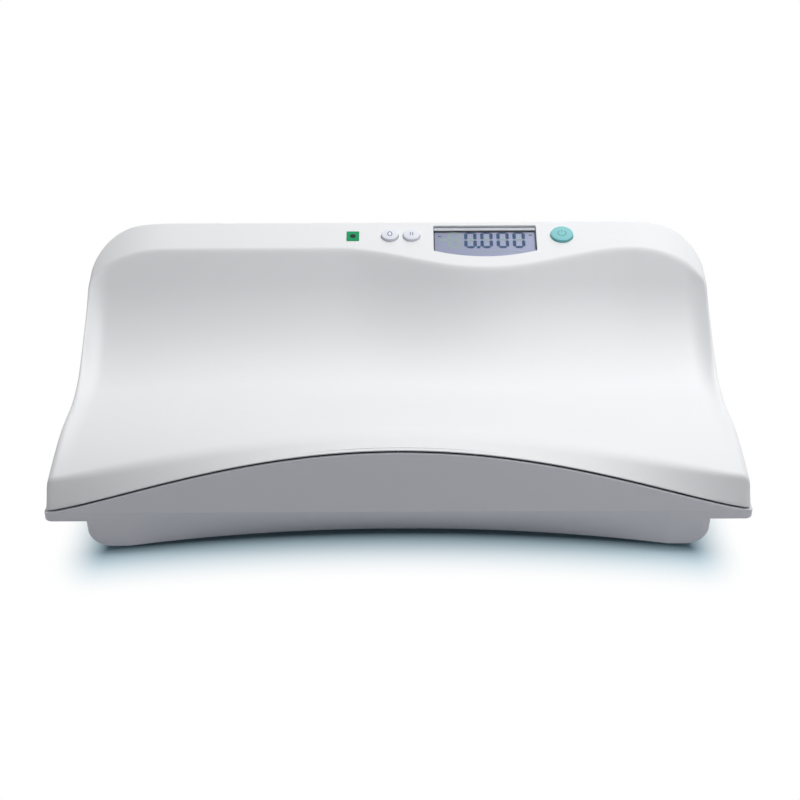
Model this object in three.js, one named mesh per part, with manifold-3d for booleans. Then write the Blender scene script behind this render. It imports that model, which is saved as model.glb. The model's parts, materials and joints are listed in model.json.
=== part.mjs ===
// Digital baby weighing scale: a trough-shaped tray that rests on one load cell in a low base housing.
// Lengths are in millimetres. +X points to the user's right, +Y to the rear and +Z up. The origin lies on the
// table, below the middle of the scale's outline.
import * as THREE from "three";
import { mergeVertices } from "three/addons/utils/BufferGeometryUtils.js";
import Module from "manifold-3d";

const wasm = await Module();
wasm.setup();

// Overall sizes
const overallWidth = 556;
const overallDepth = 333;
const overallHeight = 181;
const gap = 0.3; // assembly gap between pieces that touch
const overrun = 1; // how far a cutting solid runs past what it cuts

// Base housing
const tubClearance = 7.5; // table to the tub's underside
const rimHeight = 38.1; // table to the top of the rim, where the slanted front face begins
const rimThickness = 7.5;
const rimTurnIn = 0.5; // how far the rim's edge is drawn in above its rounded lower corner
const rimRounding = 1.8;
const rimCornerRadius = 3.5;
const baseWall = 3;
const tubSideInset = 31; // side of the rim to the side of the tub
const tubLean = 3;
const tubRearInset = 26.5;
const tubCornerRadius = 8;
const tubFootRadius = 12; // rounding between the tub's walls and its underside
const frontRecessMiddle = 36.8; // how far the slanted front face leans back at the bottom
const frontRecessEnd = 5;
const frontRecessReach = 213; // from the middle to where the lean stops changing
const frontRecessPower = 2.1;
const frontInsetShare = 1.55; // wall thickness measured level through the slanted front face
const upstandHeight = 8;
const upstandThickness = 2;
const upstandClearance = 2;
const bossRadius = 5;
const standoffHeight = 6; // floor of the tub to the parts that stand on its bosses
const crescentRibSpacing = 60;
const crescentRibDepth = 12;

// Tray
const rimStep = 1; // the foot of the tray's skirt lies this far inside the rim's outline
const skirtFlare = 1; // how much wider the skirt's foot is than its top, on each side
const weighGap = 1.5; // air between tray and base
const trayWall = 3;
const sideTaper = 5.5; // how much narrower each side is at the rear
const frontCornerRadius = 4;
const rearCornerRadius = 63;
const rearCornerSquareness = 2.4; // 2 is a round corner, more is squarer
const edgeRounding = 3;
const lipArchRise = 48.9;
const lipArchPower = 1.32;
const lipEdge = 1.2;
const creaseCornerRise = 25.4; // lip's lower edge to the front crease, at a corner
const creaseArchRise = 29.6;
const creaseArchPower = 1.35;
const creaseSetbackMiddle = 25;
const creaseSetbackCorner = 4;
const crestLength = 108; // how far behind the crease the seat settles to its own height
const seatMiddleHeight = 83;
const seatCrown = 7;
const wallRadius = 120;
const wallAngle = THREE.MathUtils.degToRad(60);
const stripTilt = THREE.MathUtils.degToRad(24.4);
const stripDepth = 38.7;
const stripBulge = 26.2;
const stripBulgeReach = 134;
const stripFillet = 9;
const rollWidth = 54; // strip along each side over which the seat turns up
const rollFrontHeight = 4;
const rollFrontLength = 100;
const rollRearHeight = 56;
const rollRearStart = 130;
const rollRearLength = 150;
const rollPower = 3;
const postRadius = 6;

// Load cell, frames and screws
const cellLength = 130;
const cellWidth = 30;
const cellHeight = 22;
const cellHoleRadius = 7.5;
const cellHoleSpacing = 26;
const cellSlotHeight = 5;
const spacerThickness = 4;
const spacerLength = 32;
const boltSpacing = 18;
const boltRadius = 3;
const boltLength = 16.5;
const boltHeadRadius = 5;
const boltHeadHeight = 4;
const sheetThickness = 2.5;
const flangeHeight = 8;
const railWidth = 26;
const baseRailOverhang = 18; // rail beyond the centre of a foot
const spineWidth = 84;
const footSideInset = 47; // side of the tub to the centre of a foot
const footFrontInset = 44.5; // front of the base to the centre of a front foot
const footRearInset = 42; // rear of the tub to the centre of a rear foot
const postSideStep = 20; // centre of a foot to the tray post beside it
const postFrontStep = 22;
const postRearStep = 28;
const screwRadius = 1.6;
const screwHeadRadius = 3.4;
const screwHeadHeight = 2.2;
const screwLength = 9;
const frameScrewStep = 80; // centre of a foot to the frame screw beside it

// Levelling feet
const padRadius = 12;
const padHeight = 2;
const wheelRadius = 15;
const wheelHeight = 4.3;
const wheelNotches = 8;
const wheelNotchRadius = 1.5;
const studRadius = 4;
const studLength = 22;
const insertRadius = 7;
const insertFlangeRadius = 9.5;
const insertFlangeHeight = 2;

// Battery bay and power board
const batteryCount = 6;
const batteryRadius = 7.25;
const batteryLength = 49.2;
const batteryTipRadius = 2.7;
const batteryTipLength = 1.3;
const batteryPitch = 15;
const batteryX = 115;
const batteryY = 0;
const contactThickness = 0.5;
const contactSpringLength = 3.2;
const contactSpringRadius = 3.2;
const contactTipRadius = 2;
const boxWall = 1.5;
const doorThickness = 1.6;
const doorLap = 3; // how far the door laps over the edge of its opening
const doorTravel = 12;
const doorGripLength = 16;
const doorGripDepth = 0.8;
const doorGripReach = 32;
const doorGripWidth = 1.6;
const doorGripPitch = 3.2;
const powerBoardWidth = 80;
const powerBoardDepth = 70;
const powerBoardX = -115;
const powerBoardY = 20;
const boardThickness = 1.6;
const chipHeight = 2.4;
const chipSize = 14;
const plugHeight = 6;
const plugWidth = 12;
const plugDepth = 8;
const socketX = -115;
const socketWidth = 12;
const socketHeight = 12;
const socketDepth = 13;
const socketBarrelRadius = 4.6;
const socketBoreRadius = 3.2;
const socketDrop = 16; // rim to the socket's middle, low enough for a plug to pass under the rim
const cableRadius = 1.5;
const cableRailSpace = 8.5; // rear rail of the tray frame to the middle of the lead

// Display and keys, in the control strip's own frame: Y runs up the strip to the rear edge, Z out of it
const displayX = 78.5;
const windowWidth = 91.5;
const windowTop = 7.4; // rear wall to the window
const windowSide = 33.4;
const windowBulge = 8;
const lensThickness = 1.5;
const lensSink = 0.3;
const bezelThickness = 3.2;
const bezelPlateThickness = 1.8;
const bezelLap = 2;
const bezelBarDepth = 4.3;
const bezelBorder = 0.8;
const panelDrop = 1.85; // top of the bezel down to the liquid crystal panel inside it
const panelThickness = 2.4;
const headBoardThickness = 1.6;
const headBoardDrop = 12; // strip surface to the board
const headBoardWidth = 193;
const headBoardDepth = 38;
const headBoardTop = 10.5;
const headBoardX = 72;
const headPostRadius = 3;
const headPostInset = 4.5;
const headPostFrontInset = 12; // keeps the front posts clear of the rear crease
const startX = 147.5;
const holdX = 12.8;
const tareX = -6.7;
const buttonY = -20.8;
const startRadius = 10;
const smallRadius = 7.6;
const buttonRise = 2.6;
const buttonCrown = 0.5;
const buttonFlange = 1.1;
const buttonFlangeThickness = 1;
const stemRadius = 3;
const matThickness = 1;
const matMargin = 2;
const domeRadius = 4.2;
const domeTipRadius = 2.6;
const domeHeight = 2.8;
const labelX = -40.8;
const labelY = -21.3;
const labelWidth = 11.3;
const labelHeight = 13;
const labelThickness = 0.2;

// How finely round forms are divided
const roundSides = 16;
const smallSides = 8;
const cornerSteps = 4;
const rearCornerSteps = 7;
const hexSides = 6;
const archSteps = 26;
const ringSteps = 14;
const cableSteps = 20;
const cableQuarterSteps = 4;
const outerColumnCount = 34;
const innerColumnCount = 24;
const planColumnCount = 10;
const lipRowCount = 2;
const seatRowShare = 0.5; // rows over the seat and wall, as a share of the columns
const stripRowShare = 0.24;
const wallCrowdingPower = 1.5; // rows of the seat lie closer together up the wall

// Places worked out from the sizes
const baseHalf = overallWidth / 2;
const baseFront = -overallDepth / 2;
const baseRear = overallDepth / 2;
const trayHalf = baseHalf - rimStep - skirtFlare;
const trayFront = baseFront + rimStep;
const trayRear = baseRear - rimStep - skirtFlare;
const trayDepth = trayRear - trayFront;
const trayFoot = rimHeight + weighGap; // lower edge of the tray's skirt
const floorTop = tubClearance + baseWall;
const frameBottom = floorTop + standoffHeight + gap;
const frameTop = frameBottom + sheetThickness;
const cellBottom = frameTop + spacerThickness + 2 * gap;
const cellTop = cellBottom + cellHeight;
const trayFrameBottom = cellTop + spacerThickness + 2 * gap;
const trayFrameTop = trayFrameBottom + sheetThickness;
const tubRear = baseRear - tubRearInset;
const tubWidth = overallWidth - 2 * tubSideInset;
const footX = tubWidth / 2 - footSideInset;
const footFrontY = baseFront + footFrontInset;
const footRearY = tubRear - footRearInset;
const postX = footX - postSideStep;
const postFrontY = footFrontY + postFrontStep;
const postRearY = footRearY - postRearStep;
const frameScrewX = footX - frameScrewStep;
// The strip's plane meets the rear wall a little above the rounded edge's highest point
const roundingLoss = 1 - Math.cos(stripTilt) + (1 - Math.sin(stripTilt)) * Math.tan(stripTilt);
const stripTop = overallHeight + edgeRounding * roundingLoss;

// Solids

// A closed three.js geometry as a solid that can be joined and cut.
function solid(geometry) {
  const loose = geometry.index ? geometry.toNonIndexed() : geometry.clone();
  const bare = new THREE.BufferGeometry().setAttribute("position", loose.getAttribute("position"));
  const merged = mergeVertices(bare);
  const mesh = new wasm.Mesh({
    numProp: 3,
    vertProperties: merged.getAttribute("position").array,
    triVerts: new Uint32Array(merged.index.array),
  });
  return new wasm.Manifold(mesh);
}

// The geometry of a finished solid.
function geometryOf(made) {
  const { vertProperties, triVerts } = made.getMesh();
  const geometry = new THREE.BufferGeometry();
  geometry.setAttribute("position", new THREE.BufferAttribute(vertProperties, 3));
  geometry.setIndex(new THREE.BufferAttribute(triVerts, 1));
  geometry.computeVertexNormals();
  return geometry;
}

const join = (solids) => solids.reduce((whole, next) => whole.add(next));
const cut = (whole, tools) => tools.reduce((rest, tool) => rest.subtract(tool), whole);

// A block between two corners.
function block(low, high) {
  const size = high.map((value, axis) => value - low[axis]);
  const centre = high.map((value, axis) => (value + low[axis]) / 2);
  return solid(new THREE.BoxGeometry(...size).translate(...centre));
}

// A block on a level, given by its middle in X and Y, its width and depth, and its bottom and top.
function slab(x, y, width, depth, bottom, top) {
  return block([x - width / 2, y - depth / 2, bottom], [x + width / 2, y + depth / 2, top]);
}

// An upright cylinder or cone frustum.
function rod(x, y, bottom, top, radius, topRadius = radius, sides = roundSides) {
  const height = top - bottom;
  const geometry = new THREE.CylinderGeometry(topRadius, radius, height, sides);
  return solid(geometry.rotateX(Math.PI / 2).translate(x, y, bottom + height / 2));
}

// A flat outline carried upwards.
function prism(points, bottom, top) {
  const shape = new THREE.Shape(points);
  const geometry = new THREE.ExtrudeGeometry(shape, { depth: top - bottom, bevelEnabled: false });
  return solid(geometry.translate(0, 0, bottom));
}

// Rings of equal length, bottom to top and anticlockwise from above, skinned and capped at both ends.
function loft(rings) {
  const count = rings[0].length;
  const vertices = rings.flat();
  const middle = (ring) =>
    [0, 1, 2].map((axis) => ring.reduce((sum, point) => sum + point[axis], 0) / count);
  const bottomMiddle = vertices.push(middle(rings[0])) - 1;
  const topMiddle = vertices.push(middle(rings[rings.length - 1])) - 1;
  const last = (rings.length - 1) * count;
  const faces = [];
  for (let i = 0; i < count; i++) {
    const next = (i + 1) % count;
    for (let k = 0; k < last; k += count)
      faces.push(k + i, k + next, k + count + next, k + i, k + count + next, k + count + i);
    faces.push(bottomMiddle, next, i, topMiddle, last + i, last + next);
  }
  const geometry = new THREE.BufferGeometry();
  geometry.setAttribute("position", new THREE.Float32BufferAttribute(vertices.flat(), 3));
  return solid(geometry.setIndex(faces));
}

// Form of the tray

// Smooth step from 0 to 1.
function ease(share) {
  const held = THREE.MathUtils.clamp(share, 0, 1);
  return held * held * (3 - 2 * held);
}

// Arch over the tray's width: 1 in the middle and 0 at the sides.
function arch(x, power) {
  return Math.max(1 - (x / trayHalf) ** 2, 0) ** power;
}

// How far an outline is drawn in where it turns a corner. A squareness of 2 gives an arc.
function cornerDraw(along, radius, squareness = 2) {
  if (along <= 0 || radius <= 0) return 0;
  return radius * (1 - Math.max(1 - (along / radius) ** squareness, 0) ** (1 / squareness));
}

// Half the tray's width at a distance behind its front edge, before and after its corners are rounded.
const straightReach = (behind) => trayHalf - (sideTaper * behind) / trayDepth;
function reach(behind, inset) {
  const turned = behind - trayDepth + rearCornerRadius;
  const rear = cornerDraw(turned, rearCornerRadius - inset, rearCornerSquareness);
  const front = cornerDraw(frontCornerRadius - behind, frontCornerRadius - inset);
  return straightReach(behind) - inset - rear - front;
}

// Distance from a point of the plan to the tray's sides and rear.
function edgeDistance(x, behind) {
  const side = straightReach(behind) - Math.abs(x);
  const back = trayDepth - behind;
  if (side >= rearCornerRadius || back >= rearCornerRadius) return Math.min(side, back);
  const [across, along] = [rearCornerRadius - side, rearCornerRadius - back];
  const power = rearCornerSquareness;
  return rearCornerRadius - (across ** power + along ** power) ** (1 / power);
}

// Lower edge of the tray's lip, arched over the width.
const lipHeight = (x) => trayFoot + lipArchRise * arch(x, lipArchPower);

// The front crease between lip and seat: its height, and how far it lies behind the lip.
const creaseHeight = (x) => trayFoot + creaseCornerRise + creaseArchRise * arch(x, creaseArchPower);
const creaseSetback = (x) =>
  creaseSetbackCorner + (creaseSetbackMiddle - creaseSetbackCorner) * arch(x, 1);

const seatHeight = (x) => seatMiddleHeight - seatCrown * (x / trayHalf) ** 2;
const stripHeight = (behind) => stripTop - (trayDepth - behind) * Math.tan(stripTilt);

// Width of the control strip, measured along its slope. It swells in a wave round the display.
function stripWidth(x) {
  const share = THREE.MathUtils.clamp((x - displayX) / stripBulgeReach, -1, 1);
  return stripDepth + (stripBulge * (1 + Math.cos(Math.PI * share))) / 2;
}

// Distance behind the front edge at which the wall meets the strip.
const rearCrease = (x) => trayDepth - stripWidth(x) * Math.cos(stripTilt);

// Rise of the rear wall above the seat: an arc that ends at the wall's angle, then a straight slope.
function wallRise(x, behind) {
  const crease = rearCrease(x);
  const arcRun = wallRadius * Math.sin(wallAngle);
  const arcRise = wallRadius * (1 - Math.cos(wallAngle));
  const climb = stripHeight(crease) - seatHeight(x);
  const foot = crease - arcRun - (climb - arcRise) / Math.tan(wallAngle);
  const run = behind - foot;
  if (run <= 0) return 0;
  if (run < arcRun) return wallRadius - Math.sqrt(wallRadius ** 2 - run ** 2);
  return arcRise + (run - arcRun) * Math.tan(wallAngle);
}

// How far the seat turns up along its sides, more so beside the rear wall.
function sideRoll(x, behind) {
  const share = Math.max(1 - (straightReach(behind) - Math.abs(x)) / rollWidth, 0);
  const front = rollFrontHeight * ease(behind / rollFrontLength);
  const rear = rollRearHeight * ease((behind - rollRearStart) / rollRearLength);
  return (front + rear) * share ** rollPower;
}

// The tray's upper surface: lip, crest, seat, wall and control strip, with its outer edge rounded.
function traySurface(x, behind) {
  const crease = creaseSetback(x);
  const lip = lipHeight(x) + lipEdge;
  const rounding = Math.max(edgeRounding - edgeDistance(x, behind), 0);
  const edgeDrop = edgeRounding - Math.sqrt(Math.max(edgeRounding ** 2 - rounding ** 2, 0));
  if (behind < crease) return lip + ((creaseHeight(x) - lip) * Math.max(behind, 0)) / crease - edgeDrop;
  const settle = Math.max(1 - (behind - crease) / crestLength, 0) ** 2;
  const crest = (creaseHeight(x) - seatHeight(x)) * settle;
  const trough = seatHeight(x) + crest + wallRise(x, behind) + sideRoll(x, behind);
  if (behind < trayDepth / 2) return trough - edgeDrop;
  const strip = stripHeight(behind);
  const blend = Math.max(stripFillet - Math.abs(trough - strip), 0);
  return Math.min(trough, strip) - blend ** 2 / (4 * stripFillet) - edgeDrop;
}

// Height of the tray's inner face, one wall thickness below the upper surface.
function trayUnderside(x, behind) {
  const step = gap;
  const across = traySurface(x + step, behind) - traySurface(x - step, behind);
  const along = traySurface(x, behind + step) - traySurface(x, behind - step);
  const slope = Math.hypot(across, along) / (2 * step);
  return traySurface(x, behind) - trayWall * Math.hypot(1, slope);
}

// Distance behind the front edge of one row of a grid over the tray. Some rows lie between the front edge and
// the front crease, most on the seat and wall, and the rest up the strip to the rear edge.
const seatRows = (columnCount) => Math.round(columnCount * seatRowShare);
const stripRows = (columnCount) => Math.round(columnCount * stripRowShare);
function rowPlace(row, columnCount, across, inset) {
  const front = Math.max(creaseSetback(across * trayHalf), inset + gap);
  const rear = rearCrease(across * trayHalf);
  if (row <= lipRowCount) return inset + ((front - inset) * row) / lipRowCount;
  const up = (row - lipRowCount) / seatRows(columnCount);
  if (up <= 1) return front + (rear - front) * (1 - (1 - up) ** wallCrowdingPower);
  const out = (row - lipRowCount - seatRows(columnCount)) / stripRows(columnCount);
  return rear + ((trayDepth - inset - rear) * (1 - Math.cos(Math.PI * out))) / 2;
}

// A solid that fills the tray's plan, drawn in by inset, from a level up to a height over the plan. It flares
// a little down to that level. Columns of its grid crowd towards the sides, where the form turns most.
function trayBody(inset, columns, bottom, heightAt) {
  const rows = lipRowCount + seatRows(columns) + stripRows(columns);
  const vertices = [];
  for (let j = 0; j <= rows; j++)
    for (let i = 0; i <= columns; i++) {
      const across = Math.sin((Math.PI * (2 * i - columns)) / (2 * columns));
      const behind = rowPlace(j, columns, across, inset);
      const x = across * reach(behind, inset);
      vertices.push([x, trayFront + behind, heightAt(x, behind)]);
    }
  const faces = [];
  const at = (i, j) => j * (columns + 1) + i;
  for (let j = 0; j < rows; j++)
    for (let i = 0; i < columns; i++)
      faces.push(at(i, j), at(i + 1, j), at(i + 1, j + 1), at(i, j), at(i + 1, j + 1), at(i, j + 1));
  const loop = [];
  for (let i = 0; i < columns; i++) loop.push(at(i, 0));
  for (let j = 0; j < rows; j++) loop.push(at(columns, j));
  for (let i = columns; i > 0; i--) loop.push(at(i, rows));
  for (let j = rows; j > 0; j--) loop.push(at(0, j));
  const start = vertices.length;
  for (const index of loop) {
    const [x, y] = vertices[index];
    const flare = (skirtFlare * (y - trayFront)) / trayDepth;
    vertices.push([x * (1 + skirtFlare / trayHalf), y + flare, bottom]);
  }
  const middle = vertices.push([0, trayFront + trayDepth / 2, bottom]) - 1;
  loop.forEach((upper, i) => {
    const next = (i + 1) % loop.length;
    faces.push(start + i, start + next, loop[next], start + i, loop[next], upper);
    faces.push(middle, start + next, start + i);
  });
  const geometry = new THREE.BufferGeometry();
  geometry.setAttribute("position", new THREE.Float32BufferAttribute(vertices.flat(), 3));
  return solid(geometry.setIndex(faces));
}

// The front arch as a solid: from the rim's level up to the lip's lower edge, less a drop, between two Y's.
function archSolid(drop, near, far, foot) {
  const points = [new THREE.Vector2(trayHalf, foot), new THREE.Vector2(-trayHalf, foot)];
  for (let i = 0; i <= archSteps; i++) {
    const x = -trayHalf * Math.cos((Math.PI * i) / archSteps);
    points.push(new THREE.Vector2(x, lipHeight(x) - drop));
  }
  const shape = new THREE.Shape(points.reverse());
  const geometry = new THREE.ExtrudeGeometry(shape, { depth: far - near, bevelEnabled: false });
  return solid(geometry.rotateX(Math.PI / 2).translate(0, far, 0));
}

// The control strip's frame: its origin is the middle of the line where the strip would meet the rear wall.
const head = new THREE.Group();
head.position.set(0, trayRear, stripTop);
head.rotation.x = stripTilt;
head.updateMatrixWorld(true);
const headMatrix = head.matrixWorld;
const inHead = (made) => solid(geometryOf(made).applyMatrix4(headMatrix));

// Outline of the display window, grown by a margin: a rectangle whose front side bulges out.
function windowOutline(margin, top = windowTop) {
  const half = windowWidth / 2 + margin;
  const low = -windowTop - windowSide - margin;
  const points = [new THREE.Vector2(displayX + half, -top + margin)];
  points.push(new THREE.Vector2(displayX - half, -top + margin));
  for (let i = 0; i <= roundSides; i++) {
    const share = (2 * i) / roundSides - 1;
    points.push(new THREE.Vector2(displayX + half * share, low - windowBulge * (1 - share ** 2)));
  }
  return points;
}

const boardTop = -headBoardDrop;
const boardLow = -headBoardTop - headBoardDepth;
const headPosts = [-1, 1].flatMap((side) =>
  [-headBoardTop - headPostInset, boardLow + headPostFrontInset].map((y) => [
    headBoardX + side * (headBoardWidth / 2 - headPostInset),
    y,
  ]),
);
const buttons = [
  { name: "start_button", x: startX, radius: startRadius, paint: "teal" },
  { name: "hold_button", x: holdX, radius: smallRadius, paint: "pale" },
  { name: "tare_button", x: tareX, radius: smallRadius, paint: "pale" },
];
const trayPosts = [-postX, postX].flatMap((x) => [postFrontY, postRearY].map((y) => [x, y]));

// The tray moulding: seat, wall, strip and skirt in one shell, with its posts and openings.
function trayShell() {
  const outer = trayBody(0, outerColumnCount, trayFoot - overrun, traySurface);
  const inner = trayBody(trayWall, innerColumnCount, trayFoot - 2 * overrun, trayUnderside);
  const below = slab(0, 0, overallWidth, overallDepth, 0, trayFoot);
  const front = archSolid(0, trayFront - overrun, trayFront + trayWall + overrun, trayFoot - overrun);
  const shell = cut(outer, [inner, below, front]);
  const filled = outer.subtract(below);
  const posts = trayPosts.map(([x, y]) =>
    rod(x, y, trayFrameTop + gap, overallHeight, postRadius, postRadius, smallSides).intersect(filled),
  );
  const postHoles = trayPosts.map(([x, y]) =>
    rod(x, y, trayFrameTop, trayFrameTop + screwLength, screwRadius + gap, screwRadius + gap, smallSides),
  );
  const postFeet = boardTop + gap;
  const headRods = headPosts.map(([x, y]) =>
    inHead(rod(x, y, postFeet, -trayWall / 2, headPostRadius, headPostRadius, smallSides)),
  );
  const headHoles = headPosts.map(([x, y]) =>
    inHead(rod(x, y, postFeet - overrun, -trayWall, screwRadius + gap, screwRadius + gap, smallSides)),
  );
  const window = inHead(prism(windowOutline(gap), -windowDepth - gap, overrun));
  const buttonHoles = buttons.map(({ x, radius }) =>
    inHead(rod(x, buttonY, -2 * trayWall, overrun, radius + gap)),
  );
  const whole = join([shell, ...posts, ...headRods]);
  return cut(whole, [...postHoles, ...headHoles, window, ...buttonHoles]);
}

// Display stack, from the strip's surface down
const lensBottom = -lensSink - lensThickness;
const bezelTop = lensBottom - gap;
const bezelFlangeTop = -trayWall - gap;
const bezelBottom = bezelFlangeTop - bezelPlateThickness;
const windowDepth = -bezelTop + bezelThickness;
const panelTop = bezelTop - panelDrop;
const panelBottom = panelTop - panelThickness;
const sightOutline = (inset) =>
  windowOutline(-bezelBorder - inset, windowTop + bezelBarDepth - bezelBorder);

const displayLens = () => prism(windowOutline(0), lensBottom, -lensSink);

// Frame behind the lens: a plate with a broad bar at the rear, lapped under the strip on three sides.
function displayBezel() {
  const plate = prism(windowOutline(0), bezelBottom, bezelTop);
  const lap = prism(windowOutline(bezelLap, windowTop + 2 * bezelLap), bezelBottom, bezelFlangeTop);
  return plate.add(lap).subtract(prism(sightOutline(0), bezelBottom - overrun, bezelTop + overrun));
}

// The liquid crystal panel lies in the bezel's opening, on a reflector block that stands on the board.
const lcdPanel = () => prism(sightOutline(gap), panelBottom, panelTop);
const lcdReflector = () => prism(sightOutline(bezelBorder), boardTop + gap, panelBottom - gap);

// Circuit board in the head, with its screw holes and a few components on its lower side.
function headBoard() {
  const bottom = boardTop - headBoardThickness;
  const middle = boardLow + headBoardDepth / 2;
  const plate = slab(headBoardX, middle, headBoardWidth, headBoardDepth, bottom, boardTop);
  const chips = [-1, 0, 1].map((place) =>
    slab(displayX + 2 * place * chipSize, middle, chipSize, chipSize, bottom - chipHeight, boardTop),
  );
  const plug = slab(tareX, middle, plugWidth, plugDepth, bottom - plugHeight, boardTop);
  const holes = headPosts.map(([x, y]) =>
    rod(x, y, bottom - overrun, boardTop + overrun, screwRadius + gap, screwRadius + gap, smallSides),
  );
  return cut(join([plate, ...chips, plug]), holes);
}

// Rubber mat on the board with a dome under each key.
function keyMat(keys) {
  const bottom = boardTop + gap;
  const top = bottom + matThickness;
  const low = Math.min(...keys) - domeRadius - matMargin;
  const high = Math.max(...keys) + domeRadius + matMargin;
  const depth = 2 * (domeRadius + matMargin);
  const sheet = slab((low + high) / 2, buttonY, high - low, depth, bottom, top);
  const domes = keys.map((x) =>
    rod(x, buttonY, bottom, top + domeHeight, domeRadius, domeTipRadius, smallSides),
  );
  return join([sheet, ...domes]);
}

// A push button: crowned cap, flange under the strip and a stem down to its dome.
function pushButton(x, radius) {
  const domeTop = boardTop + 2 * gap + matThickness + domeHeight;
  const flangeTop = -trayWall - gap;
  const flangeBottom = flangeTop - buttonFlangeThickness;
  const chamfer = buttonCrown * 2;
  const profile = [
    [0, domeTop],
    [stemRadius, domeTop],
    [stemRadius, flangeBottom],
    [radius + buttonFlange, flangeBottom],
    [radius + buttonFlange, flangeTop],
    [radius, flangeTop],
    [radius, buttonRise - buttonCrown - chamfer / 2],
    [radius - chamfer / 2, buttonRise - buttonCrown],
    [radius / 2, buttonRise - buttonCrown / 4],
    [0, buttonRise],
  ].map(([r, z]) => new THREE.Vector2(r, z));
  const geometry = new THREE.LatheGeometry(profile, roundSides);
  return solid(geometry.rotateX(Math.PI / 2).translate(x, buttonY, 0));
}

// Form of the base housing

// How far back the slanted front face lies at a place and a height.
function frontFace(x, z) {
  const bow = (frontRecessMiddle - frontRecessEnd) * (Math.abs(x) / frontRecessReach) ** frontRecessPower;
  const recess = Math.max(frontRecessMiddle - bow, frontRecessEnd);
  return baseFront + (recess * Math.max(rimHeight - z, 0)) / (rimHeight - tubClearance);
}

// One level ring of the base: bowed front, straight sides and rear, rounded corners. The rear corners follow
// the tray's.
function baseRing(z, half, rear, frontRadius, rearRadius, frontInset) {
  const ring = [];
  const span = half - frontRadius;
  for (let i = 0; i <= ringSteps; i++) {
    const x = span * ((2 * i) / ringSteps - 1);
    ring.push([x, frontFace(x, z) + frontInset, z]);
  }
  const nose = frontFace(span, z) + frontInset + frontRadius;
  const corners = [
    [span, nose, frontRadius, -1],
    [half - rearRadius, rear - rearRadius, rearRadius, 0],
    [rearRadius - half, rear - rearRadius, rearRadius, 1],
    [-span, nose, frontRadius, 2],
  ];
  for (const [x, y, radius, quarter] of corners) {
    const isRear = quarter === 0 || quarter === 1;
    const steps = isRear ? rearCornerSteps : cornerSteps;
    const power = isRear ? 2 / rearCornerSquareness : 1;
    for (let k = quarter === -1 ? 1 : 0; k <= steps - (quarter === 2 ? 1 : 0); k++) {
      const angle = (Math.PI / 2) * (quarter + k / steps);
      const [across, along] = [Math.cos(angle), Math.sin(angle)].map(
        (value) => Math.sign(value) * Math.abs(value) ** power,
      );
      ring.push([x + radius * across, y + radius * along, z]);
    }
  }
  return ring;
}

// The tub as a solid, drawn in by inset all round, with its foot rounded.
function tubBody(inset, bottom, top) {
  const foot = tubFootRadius - inset;
  const rings = [];
  for (let k = 0; k <= cornerSteps; k++) {
    const angle = (Math.PI / 2) * (k / cornerSteps);
    const z = bottom + foot * (1 - Math.cos(angle));
    rings.push([z, foot * (1 - Math.sin(angle))]);
  }
  rings.push([top, 0]);
  const lean = (z) => (tubLean * (rimHeight - z)) / rimHeight;
  return loft(
    rings.map(([z, draw]) =>
      baseRing(
        z,
        tubWidth / 2 - inset - draw - lean(z),
        tubRear - inset - draw - lean(z),
        tubCornerRadius,
        2 * tubCornerRadius,
        inset * frontInsetShare,
      ),
    ),
  );
}

// The rim as a solid, drawn in by inset, between two levels.
function rimBody(inset, bottom, top) {
  const levels = [
    [bottom, rimRounding],
    [bottom + rimRounding, rimTurnIn],
    [top, 0],
  ];
  return loft(
    levels.map(([z, turnIn]) =>
      baseRing(
        z,
        baseHalf - inset - turnIn,
        baseRear - inset - turnIn,
        rimCornerRadius,
        rearCornerRadius,
        inset * frontInsetShare,
      ),
    ),
  );
}

const feet = [-footX, footX].flatMap((x) => [footFrontY, footRearY].map((y) => [x, y]));
const frameScrews = [-frameScrewX, frameScrewX].flatMap((x) => [footFrontY, footRearY].map((y) => [x, y]));
const bayWidth = batteryCount * batteryPitch + 2 * gap;
const bayDepth = batteryLength + batteryTipLength + 2 * contactSpringLength + 2 * gap;
const bayCeiling = tubClearance + doorThickness + 2 * gap + 2 * batteryRadius + gap;
const boardBosses = [-1, 1].flatMap((sx) =>
  [-1, 1].map((sy) => [
    powerBoardX + sx * (powerBoardWidth / 2 - bossRadius),
    powerBoardY + sy * (powerBoardDepth / 2 - bossRadius),
  ]),
);
const socketZ = rimHeight - socketDrop;

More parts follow.
